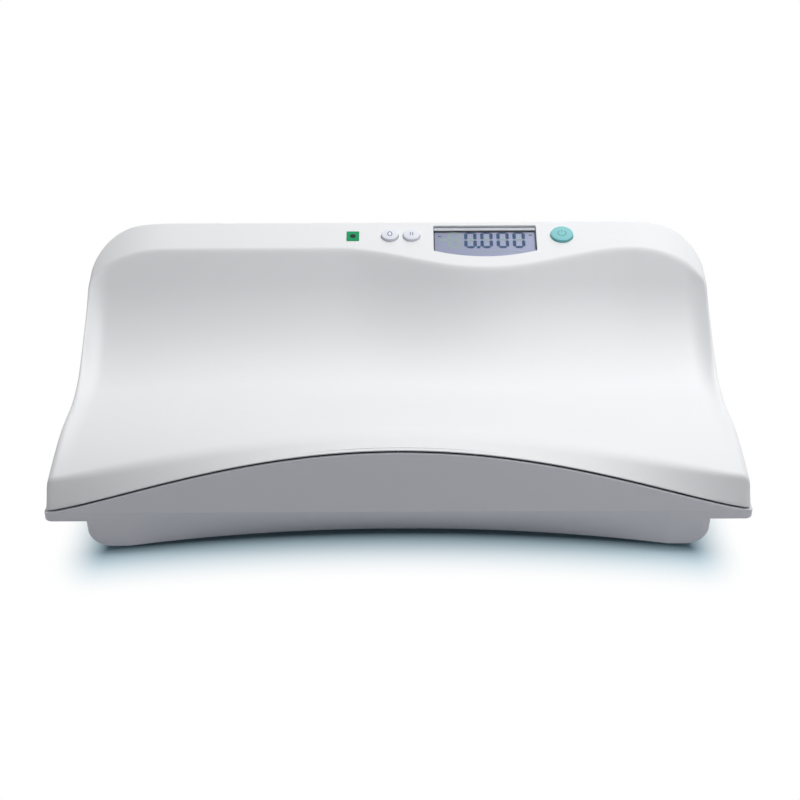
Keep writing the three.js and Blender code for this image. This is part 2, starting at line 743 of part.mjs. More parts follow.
// Base housing: rim, tub, crescent front wall, upstand, bosses, bay opening and door recess.
function baseShell() {
  const rimUnder = rimHeight - rimThickness;
  const tub = tubBody(0, tubClearance, rimHeight);
  const channel = rimBody(baseWall, rimUnder - overrun, rimHeight - baseWall).subtract(tub);
  const rim = rimBody(0, rimUnder, rimHeight).subtract(channel);
  const crescent = archSolid(weighGap, baseFront, baseFront + baseWall, rimHeight);
  const ledge = trayWall + upstandClearance;
  const flat = () => rimHeight + upstandHeight;
  const above = () => flat() + overrun;
  const fence = trayBody(ledge, planColumnCount, rimHeight - overrun, flat)
    .subtract(trayBody(ledge + upstandThickness, planColumnCount, rimHeight - 2 * overrun, above))
    .intersect(block([-baseHalf, baseFront + frontRecessMiddle, 0], [baseHalf, baseRear, overallHeight]));
  const hollow = tubBody(baseWall, floorTop, rimHeight + overrun);
  const ribReach = Math.floor(frontRecessReach / crescentRibSpacing);
  const ribs = [];
  for (let k = -ribReach; k <= ribReach; k++) {
    const x = k * crescentRibSpacing;
    const near = baseFront + baseWall / 2;
    const middle = near + crescentRibDepth / 2;
    const rib = slab(x, middle, upstandThickness, crescentRibDepth, rimHeight - baseWall, overallHeight);
    const under = archSolid(weighGap + baseWall, baseFront, near + crescentRibDepth + overrun, floorTop);
    ribs.push(rib.intersect(under));
  }
  const bosses = [...frameScrews, ...boardBosses].map(([x, y]) =>
    rod(x, y, floorTop - overrun, frameBottom - gap, bossRadius, bossRadius, smallSides),
  );
  const bossHoles = [...frameScrews, ...boardBosses].map(([x, y]) =>
    rod(x, y, tubClearance + baseWall / 2, frameBottom, screwRadius + gap, screwRadius + gap, smallSides),
  );
  const footHoles = feet.map(([x, y]) =>
    rod(x, y, 0, frameBottom, studRadius + 2 * gap, studRadius + 2 * gap),
  );
  const bay = slab(batteryX, batteryY, bayWidth, bayDepth, 0, floorTop + overrun);
  const recessTop = tubClearance + doorThickness + gap;
  const recessWidth = bayWidth + 2 * (doorLap + gap);
  const recessDepth = bayDepth + 2 * (doorLap + gap) + doorTravel;
  const recess = slab(batteryX, batteryY + doorTravel / 2, recessWidth, recessDepth, 0, recessTop);
  const socketFace = tubRear + overrun;
  const socketHole = barrel(socketX, socketZ, tubRear - socketDepth, socketFace, socketBarrelRadius + gap);
  const shell = cut(join([rim, tub, crescent, fence]), [hollow]);
  return cut(join([shell, ...bosses, ...ribs]), [...bossHoles, ...footHoles, bay, recess, socketHole]);
}

// A cylinder that lies along Y.
function barrel(x, z, near, far, radius) {
  const geometry = new THREE.CylinderGeometry(radius, radius, far - near, roundSides);
  return solid(geometry.translate(x, (near + far) / 2, z));
}

// A pressed frame: two rails with turned-up flanges, joined by a flat spine.
function pressedFrame(halfLength, frontY, rearY, bottom) {
  const top = bottom + sheetThickness;
  const rails = [frontY, rearY].flatMap((y) => {
    const flanges = [-1, 1].map((side) => {
      const middle = y + (side * (railWidth - sheetThickness)) / 2;
      return slab(0, middle, 2 * halfLength, sheetThickness, bottom, top + flangeHeight);
    });
    return [slab(0, y, 2 * halfLength, railWidth, bottom, top), ...flanges];
  });
  const spine = slab(0, (frontY + rearY) / 2, spineWidth, rearY - frontY, bottom, top);
  return join([...rails, spine]);
}

const cellBolts = [-1, 1].map((end) => end * (cellLength / 2 - spacerLength / 2));
const boltPlaces = (end) => [-1, 1].map((side) => [cellBolts[end], (side * boltSpacing) / 2]);

function baseFrame() {
  const frame = pressedFrame(footX + baseRailOverhang, footFrontY, footRearY, frameBottom);
  const through = (x, y, radius) => rod(x, y, frameBottom - overrun, frameTop + overrun, radius);
  return cut(frame, [
    ...feet.map(([x, y]) => through(x, y, insertRadius + gap)),
    ...frameScrews.map(([x, y]) => through(x, y, screwRadius + gap)),
    ...boltPlaces(0).map(([x, y]) => through(x, y, boltRadius + gap)),
  ]);
}

function trayFrame() {
  const frame = pressedFrame(postX + railWidth / 2, postFrontY, postRearY, trayFrameBottom);
  const through = (x, y, radius) => rod(x, y, trayFrameBottom - overrun, trayFrameTop + overrun, radius);
  return cut(frame, [
    ...trayPosts.map(([x, y]) => through(x, y, screwRadius + gap)),
    ...boltPlaces(1).map(([x, y]) => through(x, y, boltRadius + gap)),
  ]);
}

// The bending beam: a bar with two round holes joined by a slot, which leaves four thin flexures.
function loadCell() {
  const bar = slab(0, 0, cellLength, cellWidth, cellBottom, cellTop);
  const middle = (cellBottom + cellTop) / 2;
  const side = cellWidth / 2 + overrun;
  const holes = [-1, 1].map((end) =>
    barrel((end * cellHoleSpacing) / 2, middle, -side, side, cellHoleRadius),
  );
  const slot = block(
    [-cellHoleSpacing / 2, -side, middle - cellSlotHeight / 2],
    [cellHoleSpacing / 2, side, middle + cellSlotHeight / 2],
  );
  const threads = [0, 1].flatMap((end) =>
    boltPlaces(end).map(([x, y]) => rod(x, y, cellBottom - overrun, cellTop + overrun, boltRadius + gap)),
  );
  return cut(bar, [...holes, slot, ...threads]);
}

// A spacer under the fixed end or over the free end of the load cell.
function cellSpacer(end, bottom) {
  const top = bottom + spacerThickness;
  const plate = slab(cellBolts[end], 0, spacerLength, cellWidth, bottom, top);
  return cut(
    plate,
    boltPlaces(end).map(([x, y]) => rod(x, y, bottom - overrun, top + overrun, boltRadius + gap)),
  );
}

// A screw or bolt whose head's seat is at a height. Its shank points up or down.
function fastener(x, y, seat, up, shankRadius, length, headRadius, headHeight) {
  const shank = up ? [seat - headHeight / 2, seat + length] : [seat - length, seat + headHeight / 2];
  const cap = up ? [seat - headHeight, seat] : [seat, seat + headHeight];
  const head = rod(x, y, ...cap, headRadius, headRadius, hexSides);
  return head.add(rod(x, y, ...shank, shankRadius, shankRadius, hexSides));
}

const screw = (x, y, seat, up, length = screwLength) =>
  fastener(x, y, seat, up, screwRadius, length, screwHeadRadius, screwHeadHeight);
const bolt = (x, y, seat, up) =>
  fastener(x, y, seat, up, boltRadius, boltLength, boltHeadRadius, boltHeadHeight);

// Levelling foot: a notched disc on its stud, the rubber sole under it and the insert that it turns in.
const wheelBottom = padHeight + gap;
const wheelTop = wheelBottom + wheelHeight;
function footWheel(x, y) {
  const disc = rod(x, y, wheelBottom, wheelTop, wheelRadius);
  const stud = rod(x, y, wheelTop - overrun, wheelTop + studLength, studRadius, studRadius, smallSides);
  const notches = [];
  for (let k = 0; k < wheelNotches; k++) {
    const angle = (2 * Math.PI * k) / wheelNotches;
    const [nx, ny] = [x + wheelRadius * Math.cos(angle), y + wheelRadius * Math.sin(angle)];
    notches.push(rod(nx, ny, 0, wheelTop + overrun, wheelNotchRadius, wheelNotchRadius, hexSides));
  }
  return cut(disc.add(stud), notches);
}
const footPad = (x, y) => rod(x, y, 0, padHeight, padRadius);
function footInsert(x, y) {
  const flangeBottom = frameTop + gap;
  const flangeTop = flangeBottom + insertFlangeHeight;
  const barrelPart = rod(x, y, floorTop + gap, flangeTop, insertRadius, insertRadius, smallSides);
  const flange = rod(x, y, flangeBottom, flangeTop, insertFlangeRadius, insertFlangeRadius, hexSides);
  const thread = rod(x, y, 0, overallHeight, studRadius + gap, studRadius + gap, smallSides);
  return barrelPart.add(flange).subtract(thread);
}

// Battery bay: an upturned box, its two contact strips, the cells and the sliding door under them.
function batteryBox() {
  const outer = slab(
    batteryX,
    batteryY,
    bayWidth + 2 * boxWall,
    bayDepth + 2 * boxWall,
    floorTop + gap,
    bayCeiling + boxWall,
  );
  return outer.subtract(slab(batteryX, batteryY, bayWidth, bayDepth, 0, bayCeiling));
}

const batteryAxis = tubClearance + doorThickness + 2 * gap + batteryRadius;
function batteryCellAt(index) {
  const flip = index % 2 ? -1 : 1;
  const profile = [
    [0, 0],
    [batteryRadius, 0],
    [batteryRadius, batteryLength],
    [batteryTipRadius, batteryLength],
    [batteryTipRadius, batteryLength + batteryTipLength],
    [0, batteryLength + batteryTipLength],
  ].map(([r, y]) => new THREE.Vector2(r, y - (batteryLength + batteryTipLength) / 2));
  const geometry = new THREE.LatheGeometry(profile, smallSides);
  if (flip < 0) geometry.rotateX(Math.PI);
  const x = batteryX + (index - (batteryCount - 1) / 2) * batteryPitch;
  return solid(geometry.translate(x, batteryY, batteryAxis));
}

// Contact strip at one end of the bay, with a tapered spring against each cell.
function batteryContact(end) {
  const wall = batteryY + (end * bayDepth) / 2 - end * gap;
  const face = wall - end * contactThickness;
  const tip = batteryY + end * ((batteryLength + batteryTipLength) / 2 + gap);
  const strip = block(
    [batteryX - bayWidth / 2 + gap, Math.min(wall, face), floorTop + gap],
    [batteryX + bayWidth / 2 - gap, Math.max(wall, face), bayCeiling - gap],
  );
  const springs = [];
  for (let index = 0; index < batteryCount; index++) {
    const x = batteryX + (index - (batteryCount - 1) / 2) * batteryPitch;
    const length = Math.abs(face - tip) + contactThickness / 2;
    const cone = new THREE.CylinderGeometry(contactTipRadius, contactSpringRadius, length, hexSides);
    if (end > 0) cone.rotateX(Math.PI);
    springs.push(solid(cone.translate(x, tip + (end * length) / 2, batteryAxis)));
  }
  return join([strip, ...springs]);
}

function batteryDoor() {
  const width = bayWidth + 2 * doorLap;
  const depth = bayDepth + 2 * doorLap;
  const plate = slab(batteryX, batteryY, width, depth, tubClearance, tubClearance + doorThickness);
  const grips = [];
  for (let y = -doorGripLength / 2; y <= doorGripLength / 2; y += doorGripPitch)
    grips.push(
      slab(batteryX, batteryY + y, doorGripReach, doorGripWidth, 0, tubClearance + doorGripDepth),
    );
  return cut(plate, grips);
}

// Board beside the load cell, with its plug for the lead to the head.
const plugX = powerBoardX + powerBoardWidth / 2 - plugWidth;
const plugY = powerBoardY + powerBoardDepth / 4;
function powerBoard() {
  const top = frameBottom + boardThickness;
  const plate = slab(powerBoardX, powerBoardY, powerBoardWidth, powerBoardDepth, frameBottom, top);
  const chips = [-1, 1].map((side) =>
    slab(powerBoardX + side * chipSize, powerBoardY, chipSize, chipSize, frameBottom, top + chipHeight),
  );
  const plug = slab(plugX, plugY, plugWidth, plugDepth, frameBottom, top + plugHeight);
  return join([plate, ...chips, plug]);
}

function dcSocket() {
  const far = tubRear - baseWall - 2 * gap - tubLean;
  const near = far - socketDepth;
  const body = block(
    [socketX - socketWidth / 2, near, socketZ - socketHeight / 2],
    [socketX + socketWidth / 2, far, socketZ + socketHeight / 2],
  );
  const throat = barrel(socketX, socketZ, far - overrun, tubRear - overrun, socketBarrelRadius);
  const bore = barrel(socketX, socketZ, near + baseWall, tubRear + overrun, socketBoreRadius);
  return body.add(throat).subtract(bore);
}

// The lead from the power board up to the board in the head, a round cable held at both ends. It passes
// under the tray frame's rear rail and up behind it.
function linkCable() {
  const start = new THREE.Vector3(plugX, plugY, frameBottom + boardThickness + plugHeight + gap);
  const boardUnder = boardTop - headBoardThickness - plugHeight - gap;
  const end = new THREE.Vector3(tareX, boardLow + headBoardDepth / 2, boardUnder).applyMatrix4(headMatrix);
  const down = new THREE.Vector3(0, 0, -1).transformDirection(headMatrix);
  const lead = cellHeight / 2;
  const railSide = postRearY + railWidth / 2;
  const path = new THREE.CatmullRomCurve3([
    start,
    start.clone().add(new THREE.Vector3(0, 0, lead)),
    new THREE.Vector3((start.x + end.x) / 2, railSide + cableRailSpace, cellTop),
    end.clone().addScaledVector(down, lead),
    end,
  ]);
  const section = new THREE.Shape();
  section.absarc(0, 0, cableRadius, 0, 2 * Math.PI);
  return new THREE.ExtrudeGeometry(section, {
    extrudePath: path,
    steps: cableSteps,
    curveSegments: cableQuarterSteps,
    bevelEnabled: false,
  });
}

// Finishes
const paint = (color, roughness, metalness = 0) =>
  new THREE.MeshStandardMaterial({ color, roughness, metalness, flatShading: true });
const finishes = {
  white: paint(0xf4f5f6, 0.45),
  housing: paint(0xe9eaec, 0.5),
  teal: paint(0x6bc3bf, 0.4),
  pale: paint(0xdfe2ee, 0.4),
  green: paint(0x17a673, 0.6),
  steel: paint(0xb9bcc0, 0.4, 0.9),
  alloy: paint(0xc9ccd1, 0.45, 0.9),
  brass: paint(0xc8a550, 0.35, 0.9),
  rubber: paint(0x2e3033, 0.85),
  darkPlastic: paint(0x24272b, 0.55),
  lens: new THREE.MeshStandardMaterial({ color: 0xeef2f5, roughness: 0.08, transparent: true, opacity: 0.3 }),
  panel: paint(0xa3a6bd, 0.3),
  reflector: paint(0xd8dbe0, 0.5),
  board: paint(0x1f6b45, 0.5),
  battery: paint(0x3c4a5a, 0.35, 0.4),
  silicone: paint(0xc9ccd2, 0.8),
};

const scale = new THREE.Group();
scale.name = "baby_scale";
scale.add(head);
function piece(name, made, finish, parent = scale) {
  const geometry = made.isBufferGeometry ? made : geometryOf(made);
  const mesh = new THREE.Mesh(geometry, finishes[finish]);
  mesh.name = name;
  parent.add(mesh);
}

// Base
piece("base_shell", baseShell(), "housing");
piece("base_frame", baseFrame(), "steel");
frameScrews.forEach(([x, y], i) =>
  piece(`frame_screw_${i + 1}`, screw(x, y, frameTop + gap, false), "steel"),
);
feet.forEach(([x, y], i) => {
  piece(`foot_insert_${i + 1}`, footInsert(x, y), "brass");
  piece(`foot_wheel_${i + 1}`, footWheel(x, y), "darkPlastic");
  piece(`foot_pad_${i + 1}`, footPad(x, y), "rubber");
});
piece("load_cell_spacer_lower", cellSpacer(0, frameTop + gap), "steel");
piece("load_cell", loadCell(), "alloy");
boltPlaces(0).forEach(([x, y], i) =>
  piece(`load_cell_bolt_${i + 1}`, bolt(x, y, frameBottom - gap, true), "steel"),
);
piece("battery_box", batteryBox(), "darkPlastic");
for (let index = 0; index < batteryCount; index++)
  piece(`battery_cell_${index + 1}`, batteryCellAt(index), "battery");
piece("battery_contact_front", batteryContact(-1), "steel");
piece("battery_contact_rear", batteryContact(1), "steel");
piece("battery_door", batteryDoor(), "housing");
piece("power_board", powerBoard(), "board");
piece("dc_socket", dcSocket(), "darkPlastic");

// Weighed platform
piece("tray_shell", trayShell(), "white");
piece("tray_frame", trayFrame(), "steel");
piece("load_cell_spacer_upper", cellSpacer(1, cellTop + gap), "steel");
boltPlaces(1).forEach(([x, y], i) =>
  piece(`load_cell_bolt_${i + 3}`, bolt(x, y, trayFrameTop + gap, false), "steel"),
);
trayPosts.forEach(([x, y], i) =>
  piece(`tray_screw_${i + 1}`, screw(x, y, trayFrameBottom - gap, true), "steel"),
);
piece("link_cable", linkCable(), "silicone");

// Control head
piece("display_lens", displayLens(), "lens", head);
piece("display_bezel", displayBezel(), "darkPlastic", head);
piece("lcd_panel", lcdPanel(), "panel", head);
piece("lcd_reflector", lcdReflector(), "reflector", head);
piece("head_board", headBoard(), "board", head);
headPosts.forEach(([x, y], i) =>
  piece(`head_screw_${i + 1}`, screw(x, y, boardTop - headBoardThickness - gap, true), "steel", head),
);
piece("key_mat_left", keyMat([holdX, tareX]), "silicone", head);
piece("key_mat_right", keyMat([startX]), "silicone", head);
for (const { name, x, radius, paint: finish } of buttons) piece(name, pushButton(x, radius), finish, head);
piece(
  "control_label",
  slab(labelX, labelY, labelWidth, labelHeight, gap / 2, gap / 2 + labelThickness),
  "green",
  head,
);

export default scale;
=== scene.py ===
"""Finished surfaces of a digital baby weighing scale, built around its packed construction model."""

import json
import math

import bmesh
import bpy
import numpy as np
from bpy.props import FloatProperty, FloatVectorProperty, IntProperty, PointerProperty
from mathutils import Matrix, Vector


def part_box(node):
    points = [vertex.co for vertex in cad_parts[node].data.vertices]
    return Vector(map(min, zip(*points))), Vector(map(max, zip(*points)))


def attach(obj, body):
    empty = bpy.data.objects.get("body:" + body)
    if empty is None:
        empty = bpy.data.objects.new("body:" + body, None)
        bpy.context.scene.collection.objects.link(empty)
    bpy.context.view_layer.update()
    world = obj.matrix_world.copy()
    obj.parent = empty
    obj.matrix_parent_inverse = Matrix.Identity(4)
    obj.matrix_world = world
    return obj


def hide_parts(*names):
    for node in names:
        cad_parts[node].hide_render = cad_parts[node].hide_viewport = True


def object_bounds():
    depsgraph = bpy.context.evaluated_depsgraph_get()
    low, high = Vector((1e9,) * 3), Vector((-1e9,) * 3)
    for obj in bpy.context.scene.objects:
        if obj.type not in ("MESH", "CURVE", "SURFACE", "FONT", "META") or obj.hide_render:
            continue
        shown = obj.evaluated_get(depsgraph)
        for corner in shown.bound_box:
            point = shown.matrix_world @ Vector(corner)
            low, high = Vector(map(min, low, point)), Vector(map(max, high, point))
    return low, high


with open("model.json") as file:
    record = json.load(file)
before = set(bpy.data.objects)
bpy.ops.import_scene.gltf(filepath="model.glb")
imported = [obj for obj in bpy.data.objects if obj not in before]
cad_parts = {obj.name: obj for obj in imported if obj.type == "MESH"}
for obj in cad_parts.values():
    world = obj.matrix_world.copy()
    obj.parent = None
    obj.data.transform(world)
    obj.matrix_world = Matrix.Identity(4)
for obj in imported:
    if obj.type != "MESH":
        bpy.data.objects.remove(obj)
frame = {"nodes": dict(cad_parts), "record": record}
cad_low, cad_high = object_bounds()

bl_info = {
    "name": "Baby Weighing Scale",
    "version": (1, 0, 0),
    "blender": (4, 5, 0),
    "location": "View3D > Sidebar > Baby Scale",
    "description": "Builds the finished surfaces of a digital baby weighing scale",
    "category": "Add Mesh",
}

MM = 0.001

# Places taken from the construction model
base_low, base_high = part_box("base_shell")
lens_low, lens_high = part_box("display_lens")
WINDOW_MIDDLE = (lens_low.x + lens_high.x) / 2
WINDOW_WIDTH = lens_high.x - lens_low.x
RIM_STEP = 1 * MM  # the tray's skirt stands this far inside the rim's outline
SKIRT_FLARE = 1 * MM
TRAY_HALF = base_high.x - RIM_STEP - SKIRT_FLARE
TRAY_FRONT = base_low.y + RIM_STEP
TRAY_REAR = base_high.y - RIM_STEP - SKIRT_FLARE
TRAY_DEPTH = TRAY_REAR - TRAY_FRONT
TRAY_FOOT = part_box("tray_shell")[0].z  # lower edge of the tray's skirt
WEIGH_GAP = 1.5 * MM  # air between tray and base
RIM_TOP = TRAY_FOOT - WEIGH_GAP
OVERRUN = 1 * MM  # how far a cutting solid runs past what it cuts
GAP = 0.3 * MM  # assembly gap between pieces that touch
SLOPE_STEP = 0.3 * MM  # distance over which a surface's slope is measured
CRESCENT_SETBACK = 0.05 * MM  # the crescent's foot lies this far behind the slanted front
MERGE_REACH = 0.0001 * MM  # points nearer than this are one point

# How finely surfaces are divided
TRAY_COLUMNS = 200
LIP_ROWS = 8
CREASE_ROWS = 12
SEAT_ROWS = 80
STRIP_ROWS = 72
SKIRT_RINGS = 5
ROUND_STEPS = 12
CIRCLE_STEPS = 72
FRONT_STEPS = 160
CORNER_STEPS = 24
WINDOW_STEPS = 48
WHEEL_STEPS = 192
STUD_STEPS = 48
THREAD_LEVELS = 8  # levels in one pitch of a stud's thread
SIGN_STEPS = 31
NOUGHT_STEPS = 48
SIGN_BAR_STEPS = 7
SEAT_CROWDING = 1.5  # how much closer the seat's rows lie towards the strip
SMOOTH_ANGLE = math.radians(28)
BASE_SMOOTH_ANGLE = math.radians(8.6)  # keeps the crease between crescent and slanted front sharp

# Powers, shares and counts of small details
NOTCH_POWER = 16  # how narrow the grip notches of a foot's wheel are
GROOVE_SHARES = (0.35, 0.65)  # where a sole's two grooves start, in its radii from its middle
GROOVE_PROFILE = ((0, 0), (0.03, 1), (0.08, 1), (0.11, 0))  # in radii of the sole and depths of the groove
SOLE_POLE_SHARE = 0.02  # within this share of its radius a sole's underside is one fan
CROWN_SHARES = (0.8, 0.6, 0.4, 0.2, 0.05)  # rings of a key's domed top, in radii of it
START_RING = (125, 415)  # angles of the start sign's ring, which is open at the top, in degrees
START_BAR = (0.25, 1.25)  # ends of the bar in it above the key's middle, in radii of the ring
HOLD_SPACING_SHARE = 0.38  # a hold bar's place beside the key's middle, in sizes of the sign
HOLD_BAR_SHARE = 0.8  # half its length
NOUGHT_WIDTH_SHARE = 0.7  # width of the tare sign to its height
TIP_SHARE = 0.16  # a segment's tip from the corner where segments meet, in widths of the segment
SHOULDER_SHARE = 0.58  # from that corner to where the segment has its whole width
POINT_SHARE = 0.1  # width of the tip
TICK_SPAN_SHARE = 0.47  # half the row of ticks, in widths of the bar
TICK_FOOT_SHARE = 0.34  # the ticks' lower ends below the bar's middle, in heights of the bar
TICK_SHARE, LONG_TICK_SHARE = 0.352, 0.576  # height of a tick and of a long one
TICK_COUNT, TICK_GROUP = 61, 5  # every fifth tick is a long one
DIGIT_COUNT = 4  # noughts in the display
ROW_MARKS = 5  # unlit dashes below them

# Studio, in metres
KEY_SPOT, KEY_SIZE = (0.7, -0.1, 1.6), 1.2
REAR_SPOT, REAR_SIZE = (0.2, 0.9, 1.5), 1.4
LIGHT_AIM = (0, 0, 0.1)
CLIP_START, CLIP_END = 0.05, 50
SENSOR_WIDTH = 36  # in millimetres, as cameras have it


def length(name, millimetres, description):
    """A property that holds a length."""
    return FloatProperty(
        name=name, description=description, default=millimetres * MM, unit="LENGTH", precision=4
    )


def ratio(name, value, description):
    """A property that holds a plain number."""
    return FloatProperty(name=name, description=description, default=value)


def angle(name, degrees, description):
    """A property that holds an angle."""
    return FloatProperty(
        name=name, description=description, default=math.radians(degrees), unit="ROTATION"
    )


def linear(code):
    """An sRGB hex colour as linear light: (c + 0.055) / 1.055 to the power 2.4, and c / 12.92 near black."""
    parts = [int(code[i : i + 2], 16) / 255 for i in (1, 3, 5)]
    return tuple(c / 12.92 if c <= 0.04045 else ((c + 0.055) / 1.055) ** 2.4 for c in parts)


def colour(name, code, description):
    """A property that holds a colour, given as an sRGB hex value."""
    return FloatVectorProperty(
        name=name, description=description, default=linear(code), subtype="COLOR", min=0, max=1
    )


class ScaleTray(bpy.types.PropertyGroup):
    """Form of the tray moulding."""

    wall: length("Wall", 3, "Thickness of the moulding")
    side_taper: length("Side taper", 5.5, "How much narrower each side is at the rear")
    front_corner: length("Front corner", 4, "Radius of the front corners in plan")
    rear_corner: length("Rear corner", 40, "Size of the rear corners in plan")
    rear_squareness: ratio("Rear squareness", 2.2, "2 is a round corner, more is squarer")
    side_bulge: length("Side bulge", 3, "How much fuller each side is beside the rear wall")
    bulge_place: length("Side bulge place", 245, "Front edge to the fullest place of the sides")
    bulge_run: length("Side bulge run", 110, "Half the stretch over which the sides are fuller")
    edge_rounding: length("Edge rounding", 3, "Radius of the outer edge round the rear")
    side_rounding: length("Side rounding", 6, "Radius of the outer edge along the sides")
    side_rounding_end: length("Side rounding end", 190, "Where the sides' rounding starts to fall")
    side_rounding_run: length("Side rounding run", 60, "Stretch over which it falls to the rear's")
    lower_rounding: length("Lower edge rounding", 1.1, "Radius of the lip's and skirt's lower edge")
    lip_rise: length("Lip rise", 48.9, "Rise of the lip's lower edge in the middle")
    lip_power: ratio("Lip power", 1.32, "Fullness of the lip's arch")
    lip_edge: length("Lip edge", 1.2, "Height of the lip's upright lower edge")
    crease_corner: length("Crease at corner", 23.9, "Lip's lower edge to the front crease at a corner")
    crease_rise: length("Crease rise", 31.1, "Rise of the front crease in the middle")
    crease_power: ratio("Crease power", 1.35, "Fullness of the crease's arch")
    setback_middle: length("Setback middle", 25, "Lip to front crease in the middle, seen from above")
    setback_corner: length("Setback corner", 8, "Lip to front crease at a corner, seen from above")
    soft_middle: length("Crease softness middle", 11, "How far the crease's rounding runs each way")
    soft_corner: length("Crease softness corner", 3.5, "How far the crease's rounding runs each way")
    crest: length("Crest", 108, "How far behind the crease the seat settles to its own height")
    seat_height: length("Seat height", 83, "Table to the seat in the middle")
    seat_crown: length("Seat crown", 7, "How much lower the seat is at the sides")
    wall_radius: length("Wall radius", 120, "Radius between seat and rear wall")
    wall_angle: angle("Wall angle", 60, "Slope of the rear wall")
    strip_tilt: angle("Strip tilt", 24.4, "Slope of the control strip")
    strip_depth: length("Strip depth", 38.7, "Width of the control strip along its slope")
    strip_bulge: length("Strip bulge", 26.2, "How much deeper the strip is at the display")
    bulge_reach: length("Bulge reach", 134, "Half the length of the strip's wave")
    strip_fillet: length("Strip fillet", 3, "Softness of the edge between wall and strip")
    strip_fall: length("Strip fall", 18, "How far the strip bends down at its ends")
    fall_start: length("Fall start", 200, "Middle of the tray to where the strip starts to bend down")
    fall_power: ratio("Fall power", 2.6, "How late the strip bends down")
    roll_width: length("Roll width", 18, "Stretch along each side over which the seat turns up")
    roll_front: length("Front roll", 4, "Rise of the sides near the front")
    roll_front_length: length("Front roll length", 100, "Stretch in which the front roll grows")
    roll_rear: length("Rear roll", 9, "Rise of the sides beside the rear wall")
    roll_rear_start: length("Rear roll start", 120, "Where the rear roll begins")
    roll_rear_length: length("Rear roll length", 110, "Stretch in which the rear roll grows")
    roll_loss: ratio("Rear roll loss", 0.35, "Share of the rear roll that is lost again at the rear")
    roll_loss_start: length("Rear roll loss start", 235, "Where the rear roll begins to fall")
    roll_loss_length: length("Rear roll loss length", 50, "Stretch in which it falls")
    roll_power: ratio("Roll power", 2, "How late the roll turns up")
    post_radius: length("Post radius", 6, "Radius of the screw posts under the tray")


class ScaleBase(bpy.types.PropertyGroup):
    """Form of the base housing."""

    wall: length("Wall", 3, "Thickness of the moulding")
    clearance: length("Clearance", 7.5, "Table to the tub's underside")
    rim_thickness: length("Rim thickness", 7.5, "Height of the rim's edge")
    rim_turn_in: length("Rim turn-in", 0.5, "How far the rim's edge is drawn in near its bottom")
    rim_rounding: length("Rim rounding", 1.8, "Radius of the rim's lower edge")
    rim_corner: length("Rim corner", 3.5, "Radius of the rim's front corners")
    tub_side: length("Tub inset, side", 31, "Rim to tub at the sides")
    tub_rear: length("Tub inset, rear", 26.5, "Rim to tub at the rear")
    tub_lean: length("Tub lean", 3, "How much the tub narrows towards its foot")
    tub_corner: length("Tub corner", 8, "Radius of the tub's front corners")
    tub_rear_corner: length("Tub rear corner", 16, "Radius of the tub's rear corners")
    tub_foot: length("Tub foot", 12, "Rounding between the tub's walls and its underside")
    recess_middle: length("Recess middle", 36.8, "How far the slanted front leans back in the middle")
    recess_end: length("Recess end", 5, "How far it leans back at the sides")
    recess_reach: length("Recess reach", 213, "Middle to where the lean stops changing")
    recess_power: ratio("Recess power", 2.1, "Fullness of the front's hollow curve")
    inset_share: ratio("Front inset", 1.55, "Wall thickness measured level through the slanted front")
    top_rounding: length("Crescent edge", 0.45, "Radius of the crescent wall's upper edge")
    upstand_height: length("Upstand", 8, "Height of the inner fence over the rim")
    upstand_thickness: length("Upstand thickness", 2, "Thickness of the inner fence")
    upstand_space: length("Upstand clearance", 2, "Tray wall to the inner fence")
    rib_spacing: length("Rib spacing", 60, "Spacing of the ribs behind the crescent wall")
    rib_depth: length("Rib depth", 12, "Depth of those ribs")
    boss_radius: length("Boss radius", 5, "Radius of the bosses on the tub's floor")
    boss_bore: length("Boss bore", 1.9, "Radius of the bosses' screw holes")
    stud_bore: length("Stud bore", 4.6, "Radius of the holes for the feet's studs")
    front_rounding: length("Front rounding", 0.8, "Rounding of the slanted front's lower edge")
    door_lap: length("Door lap", 3, "How far the battery door laps over its opening")
    door_travel: length("Door travel", 12, "How far the battery door slides")
    door_thickness: length("Door thickness", 1.6, "Thickness of the battery door")
    socket_bore: length("Socket hole", 4.9, "Radius of the hole for the adapter inlet")
    wheel_radius: length("Wheel radius", 15, "Radius of a foot's wheel")
    wheel_height: length("Wheel height", 4.3, "Thickness of a foot's wheel")
    wheel_rounding: length("Wheel rounding", 0.6, "Rounding of the wheel's edges")
    wheel_notches: IntProperty(name="Notches", description="Grip notches round a wheel", default=8)
    notch_depth: length("Notch depth", 1.5, "Depth of a grip notch")
    stud_radius: length("Stud radius", 4, "Radius of a foot's threaded stud")
    thread_pitch: length("Thread pitch", 1.25, "Rise of the stud's thread in a turn")
    thread_depth: length("Thread depth", 0.5, "Crest to root of the stud's thread")


